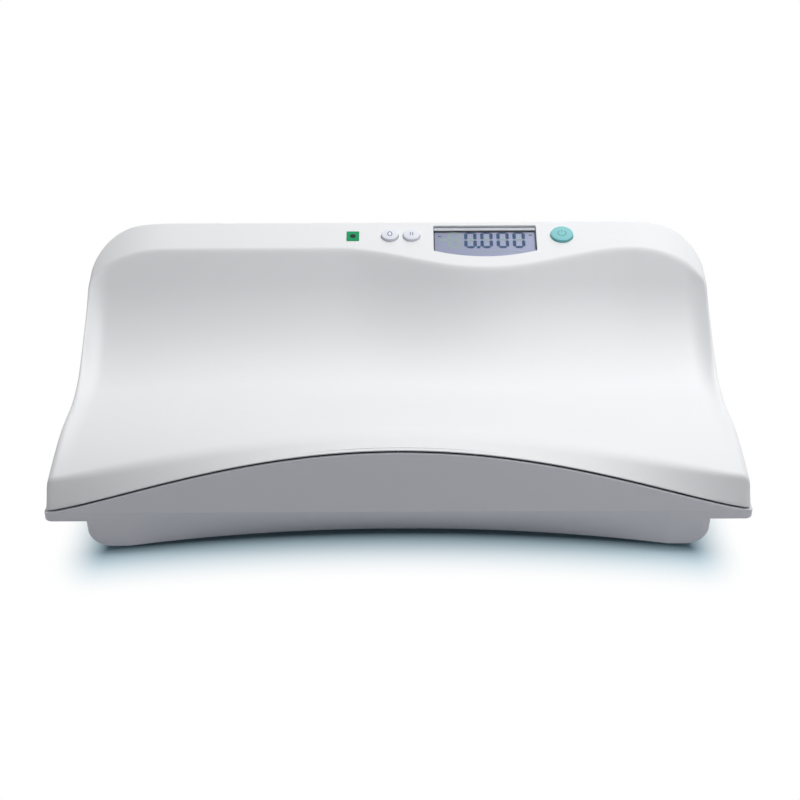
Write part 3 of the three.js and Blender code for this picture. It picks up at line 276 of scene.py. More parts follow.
class ScaleHead(bpy.types.PropertyGroup):
    """Display window, keys and label on the control strip."""

    window_top: length("Window top", 7.4, "Rear edge of the strip to the window")
    window_side: length("Window side", 33.4, "Length of the window's straight sides")
    window_bulge: length("Window bulge", 8, "How far the window's front side bulges")
    window_corner: length("Window corner", 1.3, "Reach of the rounding of the window's corners")
    window_edge: length("Window edge", 0.5, "Rounding of the strip round the window")
    bar_depth: length("Bar depth", 4.3, "Depth of the bezel's printed bar")
    border: length("Border", 0.4, "Width of the bezel beside the panel")
    bar_top: length("Bar print", 7.84, "Rear edge of the strip to the bar's white print")
    bar_height: length("Bar print height", 3.46, "Height of the bar's white print")
    digit_height: length("Digit height", 23, "Height of a digit")
    digit_width: length("Digit width", 11.3, "Width of a digit")
    digit_pitch: length("Digit pitch", 14.5, "Spacing of the digits")
    digit_left: length("First digit", 65.55, "Middle of the scale to the middle of the first lit digit")
    digit_middle: length("Digit line", 22.4, "Rear edge of the strip to the middle of the digits")
    stroke: length("Stroke", 3.1, "Thickness of a segment")
    start_x: length("Start key", 147.5, "Middle of the scale to the start key")
    hold_x: length("Hold key", 12.8, "Middle of the scale to the hold key")
    tare_x: length("Tare key", -6.7, "Middle of the scale to the tare key")
    key_y: length("Key line", -20.8, "Rear edge of the strip to the middle of the keys")
    start_radius: length("Start radius", 10, "Radius of the start key")
    small_radius: length("Small radius", 7.6, "Radius of the hold and tare keys")
    key_rise: length("Key rise", 2.6, "Height of a key over the strip")
    key_crown: length("Key crown", 0.5, "How much a key's top is domed")
    sign_share: ratio("Sign size", 0.36, "Size of a key's sign as a share of the key")
    sign_stroke: length("Sign stroke", 0.75, "Width of the lines of a key's sign")
    film: length("Print film", 0.04, "Thickness of prints and crystal segments")
    post_radius: length("Post radius", 3, "Radius of the posts that hold the circuit board")
    screw_bore: length("Screw bore", 1.9, "Radius of the posts' screw holes")
    key_edge: length("Key edge", 0.9, "Rounding of a key's upper edge")
    key_stem: length("Key stem", 3, "Radius of a key's stem")
    key_flange: length("Key flange", 1.1, "How far a key's flange stands out under the strip")
    flange_thickness: length("Flange thickness", 1, "Thickness of that flange")
    label_x: length("Label place", -39.8, "Middle of the scale to the label")
    label_y: length("Label line", -21.3, "Rear edge of the strip to the middle of the label")
    label_width: length("Label width", 11.3, "Width of the label")
    label_height: length("Label height", 13, "Height of the label")
    label_corner: length("Label corner", 0.8, "Softness of the label's corners")
    label_film: length("Label film", 0.3, "Thickness of the label")
    dot_radius: length("Dot radius", 2.6, "Radius of the label's printed dot")
    pane_rounding: length("Pane rounding", 0.2, "Rounding of the edges of pane, bezel and panel")
    bezel_lap: length("Bezel lap", 2, "How far the bezel reaches under the strip")
    tick_width: length("Tick width", 0.35, "Width of the ticks on the bar")
    mark_left: length("Left mark", 38.2, "Middle of the scale to the mark left in the display")
    mark_left_y: length("Left mark line", 17.5, "Rear edge of the strip to that mark")
    mark_right: length("Right mark", 119.5, "Middle of the scale to the mark right in the display")
    mark_right_y: length("Right mark line", 16.2, "Rear edge of the strip to that mark")
    mark_size: length("Mark size", 1.3, "Height of the small marks")
    row_y: length("Mark row", 38.1, "Rear edge of the strip to the row of unlit marks")
    row_left: length("Mark row start", 67, "Middle of the scale to the first of them")
    row_pitch: length("Mark row pitch", 9.86, "Spacing of those marks")
    row_mark: length("Row mark", 6, "Length of one of them")
    minus_x: length("Minus", 40.9, "Middle of the scale to the unlit minus sign")
    minus_length: length("Minus length", 7.8, "Length of the unlit minus sign")


class ScaleFinish(bpy.types.PropertyGroup):
    """Colours of the visible finishes."""

    tray_white: colour("Tray", "#f1f2f4", "Moulded white plastic of the tray")
    # Painted shade: the base is the tray's white plastic, and this greyer, lavender tone darkens its crescent
    # and tub.
    base_white_and_painted_shade: colour("Base", "#e0e0e7", "Moulded white plastic of the base")
    start_teal: colour("Start key", "#74c5c9", "Teal key")
    key_pale: colour("Small keys", "#e8eaf3", "Pale blue-white keys")
    label_green: colour("Label", "#0f9c63", "Green label")
    glass_tint: colour("Display glass", "#abafc8", "Ground of the liquid crystal panel")
    digit_blue: colour("Digits", "#39597c", "Lit segments")
    ghost_green: colour("Ghost segments", "#a2b7b3", "Unlit segments")


class ScaleStudio(bpy.types.PropertyGroup):
    """Camera, floor and lights."""

    camera_back: length("Camera distance", 1740.41, "Middle of the scale to the camera, along the floor")
    camera_height: length("Camera height", 710.52, "Floor to the camera")
    elevation: angle("Elevation", 20.2, "How far the camera looks down")
    roll: angle("Roll", 0.25, "Turn of the camera about its line of sight")
    lens: ratio("Lens", 98.16, "Focal length on a 36 mm sensor")
    shift: ratio("Shift", 0.0025, "Sideways shift of the frame")
    floor_size: length("Floor size", 9000, "Side of the floor")
    key_power: ratio("Key light", 13.1, "Power of the softbox overhead on the right")
    rear_power: ratio("Rear light", 11.7, "Power of the softbox above and behind")
    sky: ratio("Sky", 0.28, "Strength of the ambient light")
    # Painted shadow: these place the fade of the floor's painted shadow around the rim.
    shadow_side: length("Shadow inset, side", 47, "Rim to where the shadow starts to fade at the sides")
    shadow_front: length("Shadow inset, front", 46, "Rim to where it starts to fade at the front")
    shadow_bow: length("Shadow bow", 25, "How much further forward it starts to fade at the tub's corners")
    fade_side: length("Shadow fade, side", 44, "Stretch in which it fades at the sides")
    fade_front: length("Shadow fade, front", 92, "Stretch in which it fades at the front")


# Mesh making


def new_mesh(name, points, face_sets):
    """A mesh from an array of points and arrays of faces, where each array has its own count of corners."""
    mesh = bpy.data.meshes.new(name)
    corners = np.concatenate([faces.ravel() for faces in face_sets])
    counts = np.concatenate([np.full(len(faces), faces.shape[1]) for faces in face_sets])
    mesh.vertices.add(len(points))
    mesh.loops.add(len(corners))
    mesh.polygons.add(len(counts))
    mesh.vertices.foreach_set("co", points.astype(np.float32).ravel())
    mesh.loops.foreach_set("vertex_index", corners.astype(np.int32))
    mesh.polygons.foreach_set("loop_start", (np.cumsum(counts) - counts).astype(np.int32))
    mesh.update(calc_edges=True)
    mesh.validate()
    return mesh


def joined(shapes):
    """Several (points, face arrays) pairs as one pair, each one's faces counted on from the points before."""
    points, face_sets, start = [], [], 0
    for shape_points, shape_faces in shapes:
        points.append(shape_points)
        face_sets.extend(faces + start for faces in shape_faces)
        start += len(shape_points)
    return np.concatenate(points), face_sets


def grid_faces(rows, columns, around=False):
    """Four-sided faces of a grid of points: each joins (j, i), (j, i+1), (j+1, i+1) and (j+1, i).
    Around joins the last column to the first."""
    j, i = np.meshgrid(np.arange(rows - 1), np.arange(columns if around else columns - 1), indexing="ij")
    following = (i + 1) % columns
    quads = [j * columns + i, j * columns + following, (j + 1) * columns + following, (j + 1) * columns + i]
    return np.stack(quads, -1).reshape(-1, 4)


def skinned(rings):
    """Closed solid through level rings of equal length, bottom to top and anticlockwise from above, each end
    closed by a fan to the ring's mean point."""
    count, size = rings.shape[:2]
    points = np.concatenate([rings.reshape(-1, 3), rings[[0, -1]].mean(1)])
    here = np.arange(size)
    following = (here + 1) % size
    low, high = np.full(size, count * size), np.full(size, count * size + 1)
    top = (count - 1) * size
    fans = [np.stack([low, following, here], 1), np.stack([high, top + here, top + following], 1)]
    return points, [grid_faces(count, size, around=True), np.concatenate(fans)]


def ring_stack(outline, levels):
    """A flat outline at several levels: (height, inset) pairs, where each point is moved inwards along the
    outline's normal by the inset."""
    along = np.roll(outline, -1, 0) - np.roll(outline, 1, 0)
    inwards = np.stack([-along[:, 1], along[:, 0]], 1) / np.linalg.norm(along, axis=1)[:, None]
    rings = [np.column_stack([outline + inwards * inset, np.full(len(outline), z)]) for z, inset in levels]
    return np.stack(rings)


def rounding(edge, radius, side):
    """Levels of a quarter circle that ends at an edge's level: height = edge - side r (1 - sin a) and
    inset = r (1 - cos a), for a from 0 to a right angle. Side is 1 for an upper edge and -1 for a lower."""
    turn = np.linspace(0, math.pi / 2, ROUND_STEPS)
    levels = [(edge - side * radius * (1 - math.sin(a)), radius * (1 - math.cos(a))) for a in turn]
    return levels if side > 0 else levels[::-1]


def plate(outline, low, high, top=0.0, bottom=0.0):
    """A flat outline carried up between two levels, its upper and lower edge rounded by two radii."""
    levels = rounding(low, bottom, -1) if bottom else [(low, 0)]
    levels += rounding(high, top, 1) if top else [(high, 0)]
    return skinned(ring_stack(outline, levels))


def block(low, high):
    """A box between two corners."""
    (x0, y0, z0), (x1, y1, z1) = low, high
    return plate(rectangle((x0 + x1) / 2, (y0 + y1) / 2, x1 - x0, y1 - y0), z0, z1)


def band(right, left, low, high):
    """Solid band along a path, from the points of its right and left side and the levels of its lower and
    upper face: each of its sections is a rectangle of those four lines."""
    shape = len(right)
    lines = [(right, low), (left, low), (left, high), (right, high)]
    rings = [np.column_stack([side, np.broadcast_to(level, shape)]) for side, level in lines]
    return skinned(np.stack(rings, 1))


def stroke(points, widths, low, high):
    """A drawn line: each side lies half the width from the path, at right angles to it. The levels may be
    functions of the place."""
    points = np.asarray(points, float)
    along = np.gradient(points, axis=0)
    normal = np.column_stack([-along[:, 1], along[:, 0]]) / np.linalg.norm(along, axis=1)[:, None]
    half = normal * np.broadcast_to(widths, len(points))[:, None] / 2
    right, left = points - half, points + half
    levels = [level(points) if callable(level) else level for level in (low, high)]
    return band(right, left, *levels)


def turned(profile, x, y, steps=CIRCLE_STEPS, wave=None):
    """A profile of (radius, height) pairs, bottom to top, turned about an upright axis. A wave scales the
    radius by a function of the angle."""
    turn = np.linspace(0, 2 * math.pi, steps, endpoint=False)
    scale = 1 if wave is None else wave(turn)
    across, along = np.cos(turn) * scale, np.sin(turn) * scale
    rings = [np.column_stack([x + r * across, y + r * along, np.full(steps, z)]) for r, z in profile]
    return skinned(np.stack(rings))


def middle(node):
    """Middle of a node's box, across and along."""
    low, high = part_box(node)
    return (low.x + high.x) / 2, (low.y + high.y) / 2


def circle(x, y, radius, steps=CIRCLE_STEPS):
    """Points of a circle: centre + radius (cos a, sin a)."""
    turn = np.linspace(0, 2 * math.pi, steps, endpoint=False)
    return np.column_stack([x + radius * np.cos(turn), y + radius * np.sin(turn)])


def rectangle(x, y, width, depth):
    """The four corners of a rectangle about its middle, anticlockwise."""
    signs = np.array([(-1, -1), (1, -1), (1, 1), (-1, 1)])
    return np.array([x, y]) + signs * np.array([width, depth]) / 2


def soft_outline(sides, softness):
    """Outline through several sides, given anticlockwise as lines of points. Each corner between two sides is
    replaced by the curve (1-t)^2 a + 2t(1-t) corner + t^2 b, where a and b lie at the softness from it."""

    def cut_back(side):
        run = np.concatenate([[0], np.cumsum(np.linalg.norm(np.diff(side, axis=0), axis=1))])
        places = np.linspace(softness, run[-1] - softness, len(side))
        return np.column_stack([np.interp(places, run, side[:, k]) for k in (0, 1)])

    shortened = [cut_back(side) for side in sides]
    t = np.linspace(0, 1, ROUND_STEPS + 2)[1:-1, None]
    parts = []
    for side, short, following in zip(sides, shortened, shortened[1:] + shortened[:1]):
        bend = (1 - t) ** 2 * short[-1] + 2 * t * (1 - t) * side[-1] + t**2 * following[0]
        parts += [short, bend]
    return np.concatenate(parts)


def soft_rectangle(x, y, width, depth, softness):
    """A rectangle with softened corners."""
    corners = rectangle(x, y, width, depth)
    return soft_outline([np.stack([corners[k], corners[(k + 1) % 4]]) for k in range(4)], softness)


def moved(shape, matrix):
    """A shape carried by a matrix: point times rotation plus offset."""
    points, face_sets = shape
    turn = np.array(matrix)
    return points @ turn[:3, :3].T + turn[:3, 3], face_sets


def clean_cut(mesh):
    """Makes one point of those that a cut leaves together, which takes away the faces without an area. The
    others are split into triangles, and pairs of them that lie back to back on the same corners go too."""
    work = bmesh.new()
    work.from_mesh(mesh)
    bmesh.ops.remove_doubles(work, verts=work.verts, dist=MERGE_REACH)
    bmesh.ops.dissolve_degenerate(work, edges=work.edges, dist=MERGE_REACH)
    bmesh.ops.triangulate(work, faces=work.faces)
    alike = {}
    for face in work.faces:
        alike.setdefault(frozenset(face.verts), []).append(face)
    pairs = [face for faces in alike.values() if len(faces) > 1 for face in faces]
    bmesh.ops.delete(work, geom=pairs, context="FACES")
    work.to_mesh(mesh)
    work.free()


def carved(name, shape, steps):
    """A shape joined with or cut by other solids, in order. Steps are (operation, shape) pairs."""
    scene = bpy.context.scene
    target = bpy.data.objects.new(name, new_mesh(name, *shape))
    scene.collection.objects.link(target)
    tools = []
    for operation, tool_shape in steps:
        tool = bpy.data.objects.new("tool", new_mesh("tool", *tool_shape))
        scene.collection.objects.link(tool)
        tools.append(tool)
        modifier = target.modifiers.new(operation, "BOOLEAN")
        modifier.operation, modifier.solver, modifier.object = operation, "MANIFOLD", tool
    bpy.context.view_layer.update()
    mesh = bpy.data.meshes.new_from_object(target.evaluated_get(bpy.context.evaluated_depsgraph_get()))
    for used in [target, *tools]:
        data = used.data
        bpy.data.objects.remove(used)
        bpy.data.meshes.remove(data)
    clean_cut(mesh)
    return mesh


def show(name, mesh, body, slot, replaces=(), finish=None, smooth=SMOOTH_ANGLE):
    """Puts a finished mesh in the scene as a piece that rides on a body, smooth but for its sharp edges. It
    has its slot's finish unless another is named."""
    mesh.materials.clear()
    mesh.materials.append(finishes[finish or slot])
    mesh.shade_smooth()
    mesh.set_sharp_from_angle(angle=smooth)
    piece = bpy.data.objects.new(name, mesh)
    bpy.context.scene.collection.objects.link(piece)
    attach(piece, body)
    if replaces:
        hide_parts(*replaces)
    return piece


# Form of the tray, as functions of the place across and the distance behind its front edge


def ease(share):
    """Smooth step from 0 to 1: 3 s squared less 2 s cubed."""
    held = np.clip(share, 0, 1)
    return held * held * (3 - 2 * held)


def arch(x, power):
    """Arch over the tray's width: one less the squared share of the half width, to a power."""
    return np.maximum(1 - (x / TRAY_HALF) ** 2, 0) ** power


def corner_draw(along, radius, squareness):
    """How far an outline is drawn in where it turns a corner: r (1 - (1 - (s/r)^n)^(1/n))."""
    share = np.clip(along / radius, 0, 1)
    return radius * (1 - np.maximum(1 - share**squareness, 0) ** (1 / squareness))


def straight_reach(f, behind):
    """Half the tray's width before its corners are rounded: it tapers evenly to the rear, plus a bulge beside
    the rear wall, which is one less the squared share of its run, squared."""
    share = (behind - f.bulge_place) / f.bulge_run
    return TRAY_HALF - f.side_taper * behind / TRAY_DEPTH + f.side_bulge * np.maximum(1 - share**2, 0) ** 2


def reach(f, behind, inset):
    """Half the tray's width at a distance behind its front edge, drawn in by an inset and at its corners."""
    into_corner = behind - TRAY_DEPTH + f.rear_corner
    rear = corner_draw(into_corner, f.rear_corner - inset, f.rear_squareness)
    front = corner_draw(f.front_corner - behind, f.front_corner - inset, 2)
    return straight_reach(f, behind) - inset - rear - front


def edge_distance(f, x, behind):
    """Distance from a point of the plan to the sides and rear: the nearer of the two, and in a rear corner
    its size less (a^p + b^p)^(1/p), where p is its squareness and a and b are what both lack of its size."""
    side = straight_reach(f, behind) - np.abs(x)
    back = TRAY_DEPTH - behind
    across, along = np.maximum(f.rear_corner - side, 0), np.maximum(f.rear_corner - back, 0)
    power = f.rear_squareness
    in_corner = f.rear_corner - (across**power + along**power) ** (1 / power)
    return np.where((side >= f.rear_corner) | (back >= f.rear_corner), np.minimum(side, back), in_corner)


def lip_height(f, x):
    """Lower edge of the lip: the skirt's foot plus an arch."""
    return TRAY_FOOT + f.lip_rise * arch(x, f.lip_power)


def crease_height(f, x):
    """Height of the front crease between lip and seat: an arch over the corners' height."""
    return TRAY_FOOT + f.crease_corner + f.crease_rise * arch(x, f.crease_power)


def crease_setback(f, x):
    """How far the crease lies behind the lip: an arch from the corners' setback to the middle's."""
    return f.setback_corner + (f.setback_middle - f.setback_corner) * arch(x, 1)


def seat_height(f, x):
    """Height of the seat: it falls from the middle with the squared share of the half width."""
    return f.seat_height - f.seat_crown * (x / TRAY_HALF) ** 2


def strip_top(f):
    """Where the strip's plane meets the rear wall: above the highest point by what the rounding takes off,
    r (1 - cos t + (1 - sin t) tan t)."""
    tilt = f.strip_tilt
    loss = 1 - math.cos(tilt) + (1 - math.sin(tilt)) * math.tan(tilt)
    return cad_high.z + f.edge_rounding * loss


def strip_height(f, behind):
    """Height of the strip's plane: it falls towards the front with the tangent of its tilt."""
    return strip_top(f) - (TRAY_DEPTH - behind) * math.tan(f.strip_tilt)


def rear_crease(f, x):
    """Where the wall meets the strip. The strip's width swells by a raised cosine round the display."""
    share = np.clip((x - WINDOW_MIDDLE) / f.bulge_reach, -1, 1)
    width = f.strip_depth + f.strip_bulge * (1 + np.cos(math.pi * share)) / 2
    return TRAY_DEPTH - width * math.cos(f.strip_tilt)


def wall_rise(f, x, behind):
    """Rise of the rear wall over the seat: an arc, r - sqrt(r^2 - s^2), up to the wall's angle, and then a
    straight slope, placed so that it ends at the strip."""
    crease = rear_crease(f, x)
    arc_run = f.wall_radius * math.sin(f.wall_angle)
    arc_rise = f.wall_radius * (1 - math.cos(f.wall_angle))
    climb = strip_height(f, crease) - seat_height(f, x)
    foot = crease - arc_run - (climb - arc_rise) / math.tan(f.wall_angle)
    run = np.maximum(behind - foot, 0)
    arc = f.wall_radius - np.sqrt(np.maximum(f.wall_radius**2 - np.minimum(run, arc_run) ** 2, 0))
    return arc + np.maximum(run - arc_run, 0) * math.tan(f.wall_angle)


def side_roll(f, x, behind):
    """How far the seat turns up along its sides: a height that grows to the rear, times the share of the
    way into the rolled stretch to a power."""
    share = np.maximum(1 - (straight_reach(f, behind) - np.abs(x)) / f.roll_width, 0)
    front = f.roll_front * ease(behind / f.roll_front_length)
    rear = f.roll_rear * ease((behind - f.roll_rear_start) / f.roll_rear_length)
    rear = rear * (1 - f.roll_loss * ease((behind - f.roll_loss_start) / f.roll_loss_length))
    return (front + rear) * share**f.roll_power


def trough_height(f, x, behind):
    """Seat, crest and rear wall: the seat's height, plus a crest that dies out with the square of the
    distance behind the crease, plus wall and side roll."""
    crease = crease_setback(f, x)
    settle = np.clip(1 - (behind - crease) / f.crest, 0, 1) ** 2
    crest = (crease_height(f, x) - seat_height(f, x)) * settle
    return seat_height(f, x) + crest + wall_rise(f, x, behind) + side_roll(f, x, behind)


def crease_bend(f, x):
    """Start, corner and end of the crease's rounding, each as (behind, height), and the seat's slope there.
    Start and end lie at the softness from the corner, along the lip and along the seat."""
    run, top = crease_setback(f, x), crease_height(f, x)
    rise = top - lip_height(f, x) - f.lip_edge
    slope = (trough_height(f, x, run + SLOPE_STEP) - trough_height(f, x, run)) / SLOPE_STEP
    soft = f.soft_corner + (f.soft_middle - f.soft_corner) * arch(x, 1)
    lip_share, seat_share = soft / np.hypot(run, rise), soft / np.hypot(1, slope)
    start = np.stack([run - run * lip_share, top - rise * lip_share])
    end = np.stack([run + seat_share, top + slope * seat_share])
    return start, np.stack([run, top]), end, slope


def tray_surface(f, x, behind):
    """Upper surface of the tray. In front of the crease it is a straight lip, then the crease's quadratic
    curve, then the trough. At the rear it is the lower of trough and strip, less b^2 / 4r near their meeting.
    The strip falls at its ends with a power of the distance, and the outer edge by r - sqrt(r^2 - s^2)."""
    start, corner, end, slope = crease_bend(f, x)
    lip = lip_height(f, x) + f.lip_edge
    line = lip + (corner[1] - lip) * np.maximum(behind, 0) / corner[0]
    trough = trough_height(f, x, behind)
    first, second = 2 * (corner[0] - start[0]), start[0] - 2 * corner[0] + end[0]
    into = np.clip(behind - start[0], 0, None)
    t = np.clip(2 * into / (first + np.sqrt(np.maximum(first**2 + 4 * second * into, 0))), 0, 1)
    bend = (1 - t) ** 2 * start[1] + 2 * t * (1 - t) * corner[1] + t**2 * end[1]
    bend += np.where(behind > corner[0], trough - corner[1] - slope * (behind - corner[0]), 0)
    front = np.where(behind < start[0], line, np.where(behind < end[0], bend, trough))
    fall = np.clip((np.abs(x) - f.fall_start) / (TRAY_HALF - f.fall_start), 0, 1)
    strip = strip_height(f, behind) - f.strip_fall * fall**f.fall_power
    blend = np.maximum(f.strip_fillet - np.abs(trough - strip), 0)
    rear = np.minimum(trough, strip) - blend**2 / (4 * f.strip_fillet)
    rearwards = ease((behind - f.side_rounding_end) / f.side_rounding_run)
    radius = f.side_rounding + (f.edge_rounding - f.side_rounding) * rearwards
    into_edge = np.clip(radius - edge_distance(f, x, behind), 0, radius)
    drop = radius - np.sqrt(radius**2 - into_edge**2)
    return np.where(behind < TRAY_DEPTH / 2, front, rear) - drop


def tray_underside(f, x, behind):
    """Inner face of the tray: the upper surface less the wall times the slope's secant."""
    across = tray_surface(f, x + SLOPE_STEP, behind) - tray_surface(f, x - SLOPE_STEP, behind)
    along = tray_surface(f, x, behind + SLOPE_STEP) - tray_surface(f, x, behind - SLOPE_STEP)
    slope = np.hypot(across, along) / (2 * SLOPE_STEP)
    return tray_surface(f, x, behind) - f.wall * np.hypot(1, slope)


def tray_rows(f, across, inset):
    """Distances behind the front edge for the rows of the tray's grid, as (row, column): evenly up the lip,
    along the crease's curve, closer and closer up the wall, and by a raised cosine over the strip."""
    x = across * TRAY_HALF
    start, corner, end, _ = crease_bend(f, x)
    first = np.maximum(start[0], inset + GAP)
    last = np.maximum(end[0], first + GAP)
    lip = np.linspace(0, 1, LIP_ROWS, endpoint=False)[:, None]
    t = np.linspace(0, 1, CREASE_ROWS, endpoint=False)[:, None]
    up = np.linspace(0, 1, SEAT_ROWS, endpoint=False)[:, None]
    out = np.linspace(0, 1, STRIP_ROWS + 1)[:, None]
    rear, edge = rear_crease(f, x), TRAY_DEPTH - inset
    return np.concatenate(
        [
            inset + (first - inset) * lip,
            (1 - t) ** 2 * first + 2 * t * (1 - t) * np.maximum(corner[0], first) + t**2 * last,
            last + (rear - last) * (1 - (1 - up) ** SEAT_CROWDING),
            rear + (edge - rear) * (1 - np.cos(math.pi * out)) / 2,
        ]
    )


def tray_sheet(f, inset, height):
    """Grid of points over the tray's plan, drawn in by an inset. Columns crowd to the sides as a sine."""
    across = np.sin(math.pi / 2 * np.linspace(-1, 1, TRAY_COLUMNS + 1))
    behind = tray_rows(f, across, inset)
    x = across * reach(f, behind, inset)
    return np.stack([x, TRAY_FRONT + behind, height(f, x, behind)], -1)


def border(rows, columns):
    """Indices of a grid's outer points, anticlockwise from its first."""
    place = np.arange(rows * columns).reshape(rows, columns)
    return np.concatenate([place[0, :-1], place[:-1, -1], place[-1, :0:-1], place[:0:-1, 0]])


def tray_moulding(f):
    """The tray as one closed skin: upper surface, skirt that flares down to its foot, rounded lower edge and
    the inner face one wall thickness inside."""
    outer, inner = tray_sheet(f, 0, tray_surface), tray_sheet(f, f.wall, tray_underside)
    rows, columns = outer.shape[:2]
    loop = border(rows, columns)
    rim, inner_rim = outer.reshape(-1, 3)[loop], inner.reshape(-1, 3)[loop]
    near_front = rim[:, 1] - TRAY_FRONT < f.wall + OVERRUN
    low = np.where(near_front, lip_height(f, rim[:, 0]), TRAY_FOOT)
    inner_rim[:, 2] = np.maximum(inner_rim[:, 2], low + f.lower_rounding + OVERRUN)
    inner.reshape(-1, 3)[loop] = inner_rim
    inner[1:-1, 1:-1, 2] = np.maximum(inner[1:-1, 1:-1, 2], TRAY_FOOT + OVERRUN)

    def flared(z):
        share = (rim[:, 2] - z) / (rim[:, 2] - TRAY_FOOT + OVERRUN)
        wider = 1 + SKIRT_FLARE / TRAY_HALF * share
        deeper = SKIRT_FLARE * (rim[:, 1] - TRAY_FRONT) / TRAY_DEPTH * share
        return np.column_stack([rim[:, 0] * wider, rim[:, 1] + deeper, z])

    share = np.linspace(0, 1, SKIRT_RINGS)[1:]
    rings = [flared(rim[:, 2] + (low + f.lower_rounding - rim[:, 2]) * s) for s in share]
    wall = rings[-1]
    inwards = inner_rim[:, :2] - wall[:, :2]
    inwards /= np.linalg.norm(inwards, axis=1)[:, None]
    for turn in np.linspace(0, math.pi / 2, ROUND_STEPS)[1:]:
        drawn = wall[:, :2] + inwards * f.lower_rounding * (1 - math.cos(turn))
        rings.append(np.column_stack([drawn, low + f.lower_rounding * (1 - math.sin(turn))]))
    rings.append(np.column_stack([inner_rim[:, :2], low]))
    count = rows * columns
    points = np.concatenate([outer.reshape(-1, 3), inner.reshape(-1, 3), *rings])
    starts = [2 * count + k * len(loop) for k in range(len(rings))]
    lines = [loop, *[start + np.arange(len(loop)) for start in starts], count + loop]
    bands = []
    for upper, lower in zip(lines, lines[1:]):
        bands.append(np.stack([upper, lower, np.roll(lower, -1), np.roll(upper, -1)], 1))
    top = grid_faces(rows, columns)
    return points, [top, count + top[:, ::-1], np.concatenate(bands)]


# Form of the base


def front_face(b, x, z):
    """Place of the base's slanted front: it leans back in step with the depth under the rim, by a recess
    that shrinks from the middle with a power of the distance."""
    bow = (b.recess_middle - b.recess_end) * (np.abs(x) / b.recess_reach) ** b.recess_power
    recess = np.maximum(b.recess_middle - bow, b.recess_end)
    return base_low.y + recess * np.maximum(RIM_TOP - z, 0) / (RIM_TOP - b.clearance)


def base_ring(b, z, half, rear, front_radius, rear_radius, squareness, front_inset):
    """A level ring of the base: bowed front, straight sides and rear, and corners where the cosine and sine
    have the power 2 / p, p being the squareness."""
    x = (half - front_radius) * np.linspace(-1, 1, FRONT_STEPS + 1)
    front = np.column_stack([x, front_face(b, x, z) + front_inset])
    nose = front[0, 1] + front_radius
    corners = [
        (half - front_radius, nose, front_radius, -1, 2),
        (half - rear_radius, rear - rear_radius, rear_radius, 0, squareness),
        (rear_radius - half, rear - rear_radius, rear_radius, 1, squareness),
        (front_radius - half, nose, front_radius, 2, 2),
    ]
    parts = [front]
    for across, along, radius, quarter, power in corners:
        turn = math.pi / 2 * (quarter + np.linspace(0, 1, CORNER_STEPS + 1))
        unit = np.column_stack([np.cos(turn), np.sin(turn)])
        parts.append((across, along) + radius * np.sign(unit) * np.abs(unit) ** (2 / power))
    parts[1], parts[4] = parts[1][1:], parts[4][:-1]
    outline = np.concatenate(parts)
    return np.column_stack([outline, np.full(len(outline), z)])


def tub_solid(b, inset, bottom, top):
    """The tub, drawn in by an inset: its foot is rounded by r (1 - sin a) at the height r (1 - cos a), and it
    leans out evenly up to the rim."""
    foot = b.tub_foot - inset
    rings = []
    for a in np.linspace(0, math.pi / 2, ROUND_STEPS + 2):
        rings.append((bottom + foot * (1 - math.cos(a)), foot * (1 - math.sin(a))))
    rings.append((top, 0))
    made = []
    for z, draw in rings:
        lean = b.tub_lean * (RIM_TOP - z) / RIM_TOP
        drawn = inset + draw + lean
        soft = b.front_rounding * (draw / foot) ** 2
        made.append(
            base_ring(
                b, z, base_high.x - b.tub_side - drawn, base_high.y - b.tub_rear - drawn,
                b.tub_corner, b.tub_rear_corner, 2, inset * b.inset_share + soft,
            )
        )
    return skinned(np.stack(made))


def rim_solid(b, f, inset, bottom):
    """The rim, drawn in by an inset, which also lowers its top: its lower edge is a quarter circle, and its
    side draws in evenly towards that."""
    top = RIM_TOP - inset
    levels = rounding(bottom, b.rim_rounding, -1) + [(top, 0)]
    made = []
    for z, draw in levels:
        drawn = inset + draw + b.rim_turn_in * (top - z) / (top - bottom)
        made.append(
            base_ring(
                b, z, base_high.x - drawn, base_high.y - drawn, b.rim_corner, f.rear_corner,
                f.rear_squareness, inset * b.inset_share,
            )
        )
    return skinned(np.stack(made))


def crescent(b, f):
    """The upright front wall: its top follows the lip's arch at the weighing gap, with a rounded front edge,
    and its foot follows the slanted front a little way down."""
    x = (TRAY_HALF - OVERRUN) * np.linspace(-1, 1, FRONT_STEPS + 1)
    top = np.maximum(lip_height(f, x) - WEIGH_GAP, RIM_TOP + GAP)
    soft = np.minimum(b.top_rounding, (top - RIM_TOP) / 3)
    low = RIM_TOP - b.wall / 2
    near, far = base_low.y, base_low.y + b.wall
    points = [(front_face(b, x, low) + CRESCENT_SETBACK, low), (far, low), (far, top)]
    for a in np.linspace(math.pi / 2, 0, ROUND_STEPS):
        points.append((near + soft * (1 - math.cos(a)), top - soft * (1 - math.sin(a))))
    points.append((near, RIM_TOP))
    rings = [np.column_stack(np.broadcast_arrays(x, y, z)) for y, z in points]
    return skinned(np.stack(rings, 1))


def fence(b, f):
    """The inner fence: a wall along the tray's plan, inside it, from one side round the rear to the other."""

    def line(inset):
        start = base_low.y + b.recess_middle - TRAY_FRONT
        share = np.sin(math.pi / 2 * np.linspace(0, 1, FRONT_STEPS))
        behind = start + (TRAY_DEPTH - inset - start) * share
        side = np.column_stack([reach(f, behind, inset), TRAY_FRONT + behind])
        return np.concatenate([side, (side * (-1, 1))[::-1]])

    outer = f.wall + b.upstand_space
    low, high = RIM_TOP - b.wall / 2, RIM_TOP + b.upstand_height
    return band(line(outer), line(outer + b.upstand_thickness), low, high)


def barrel(x, z, near, far, radius):
    """A cylinder that lies along the depth."""
    points, faces = plate(circle(0, 0, radius), 0, far - near)
    return points[:, [0, 2, 1]] + (x, near, z), [turn[:, ::-1] for turn in faces]


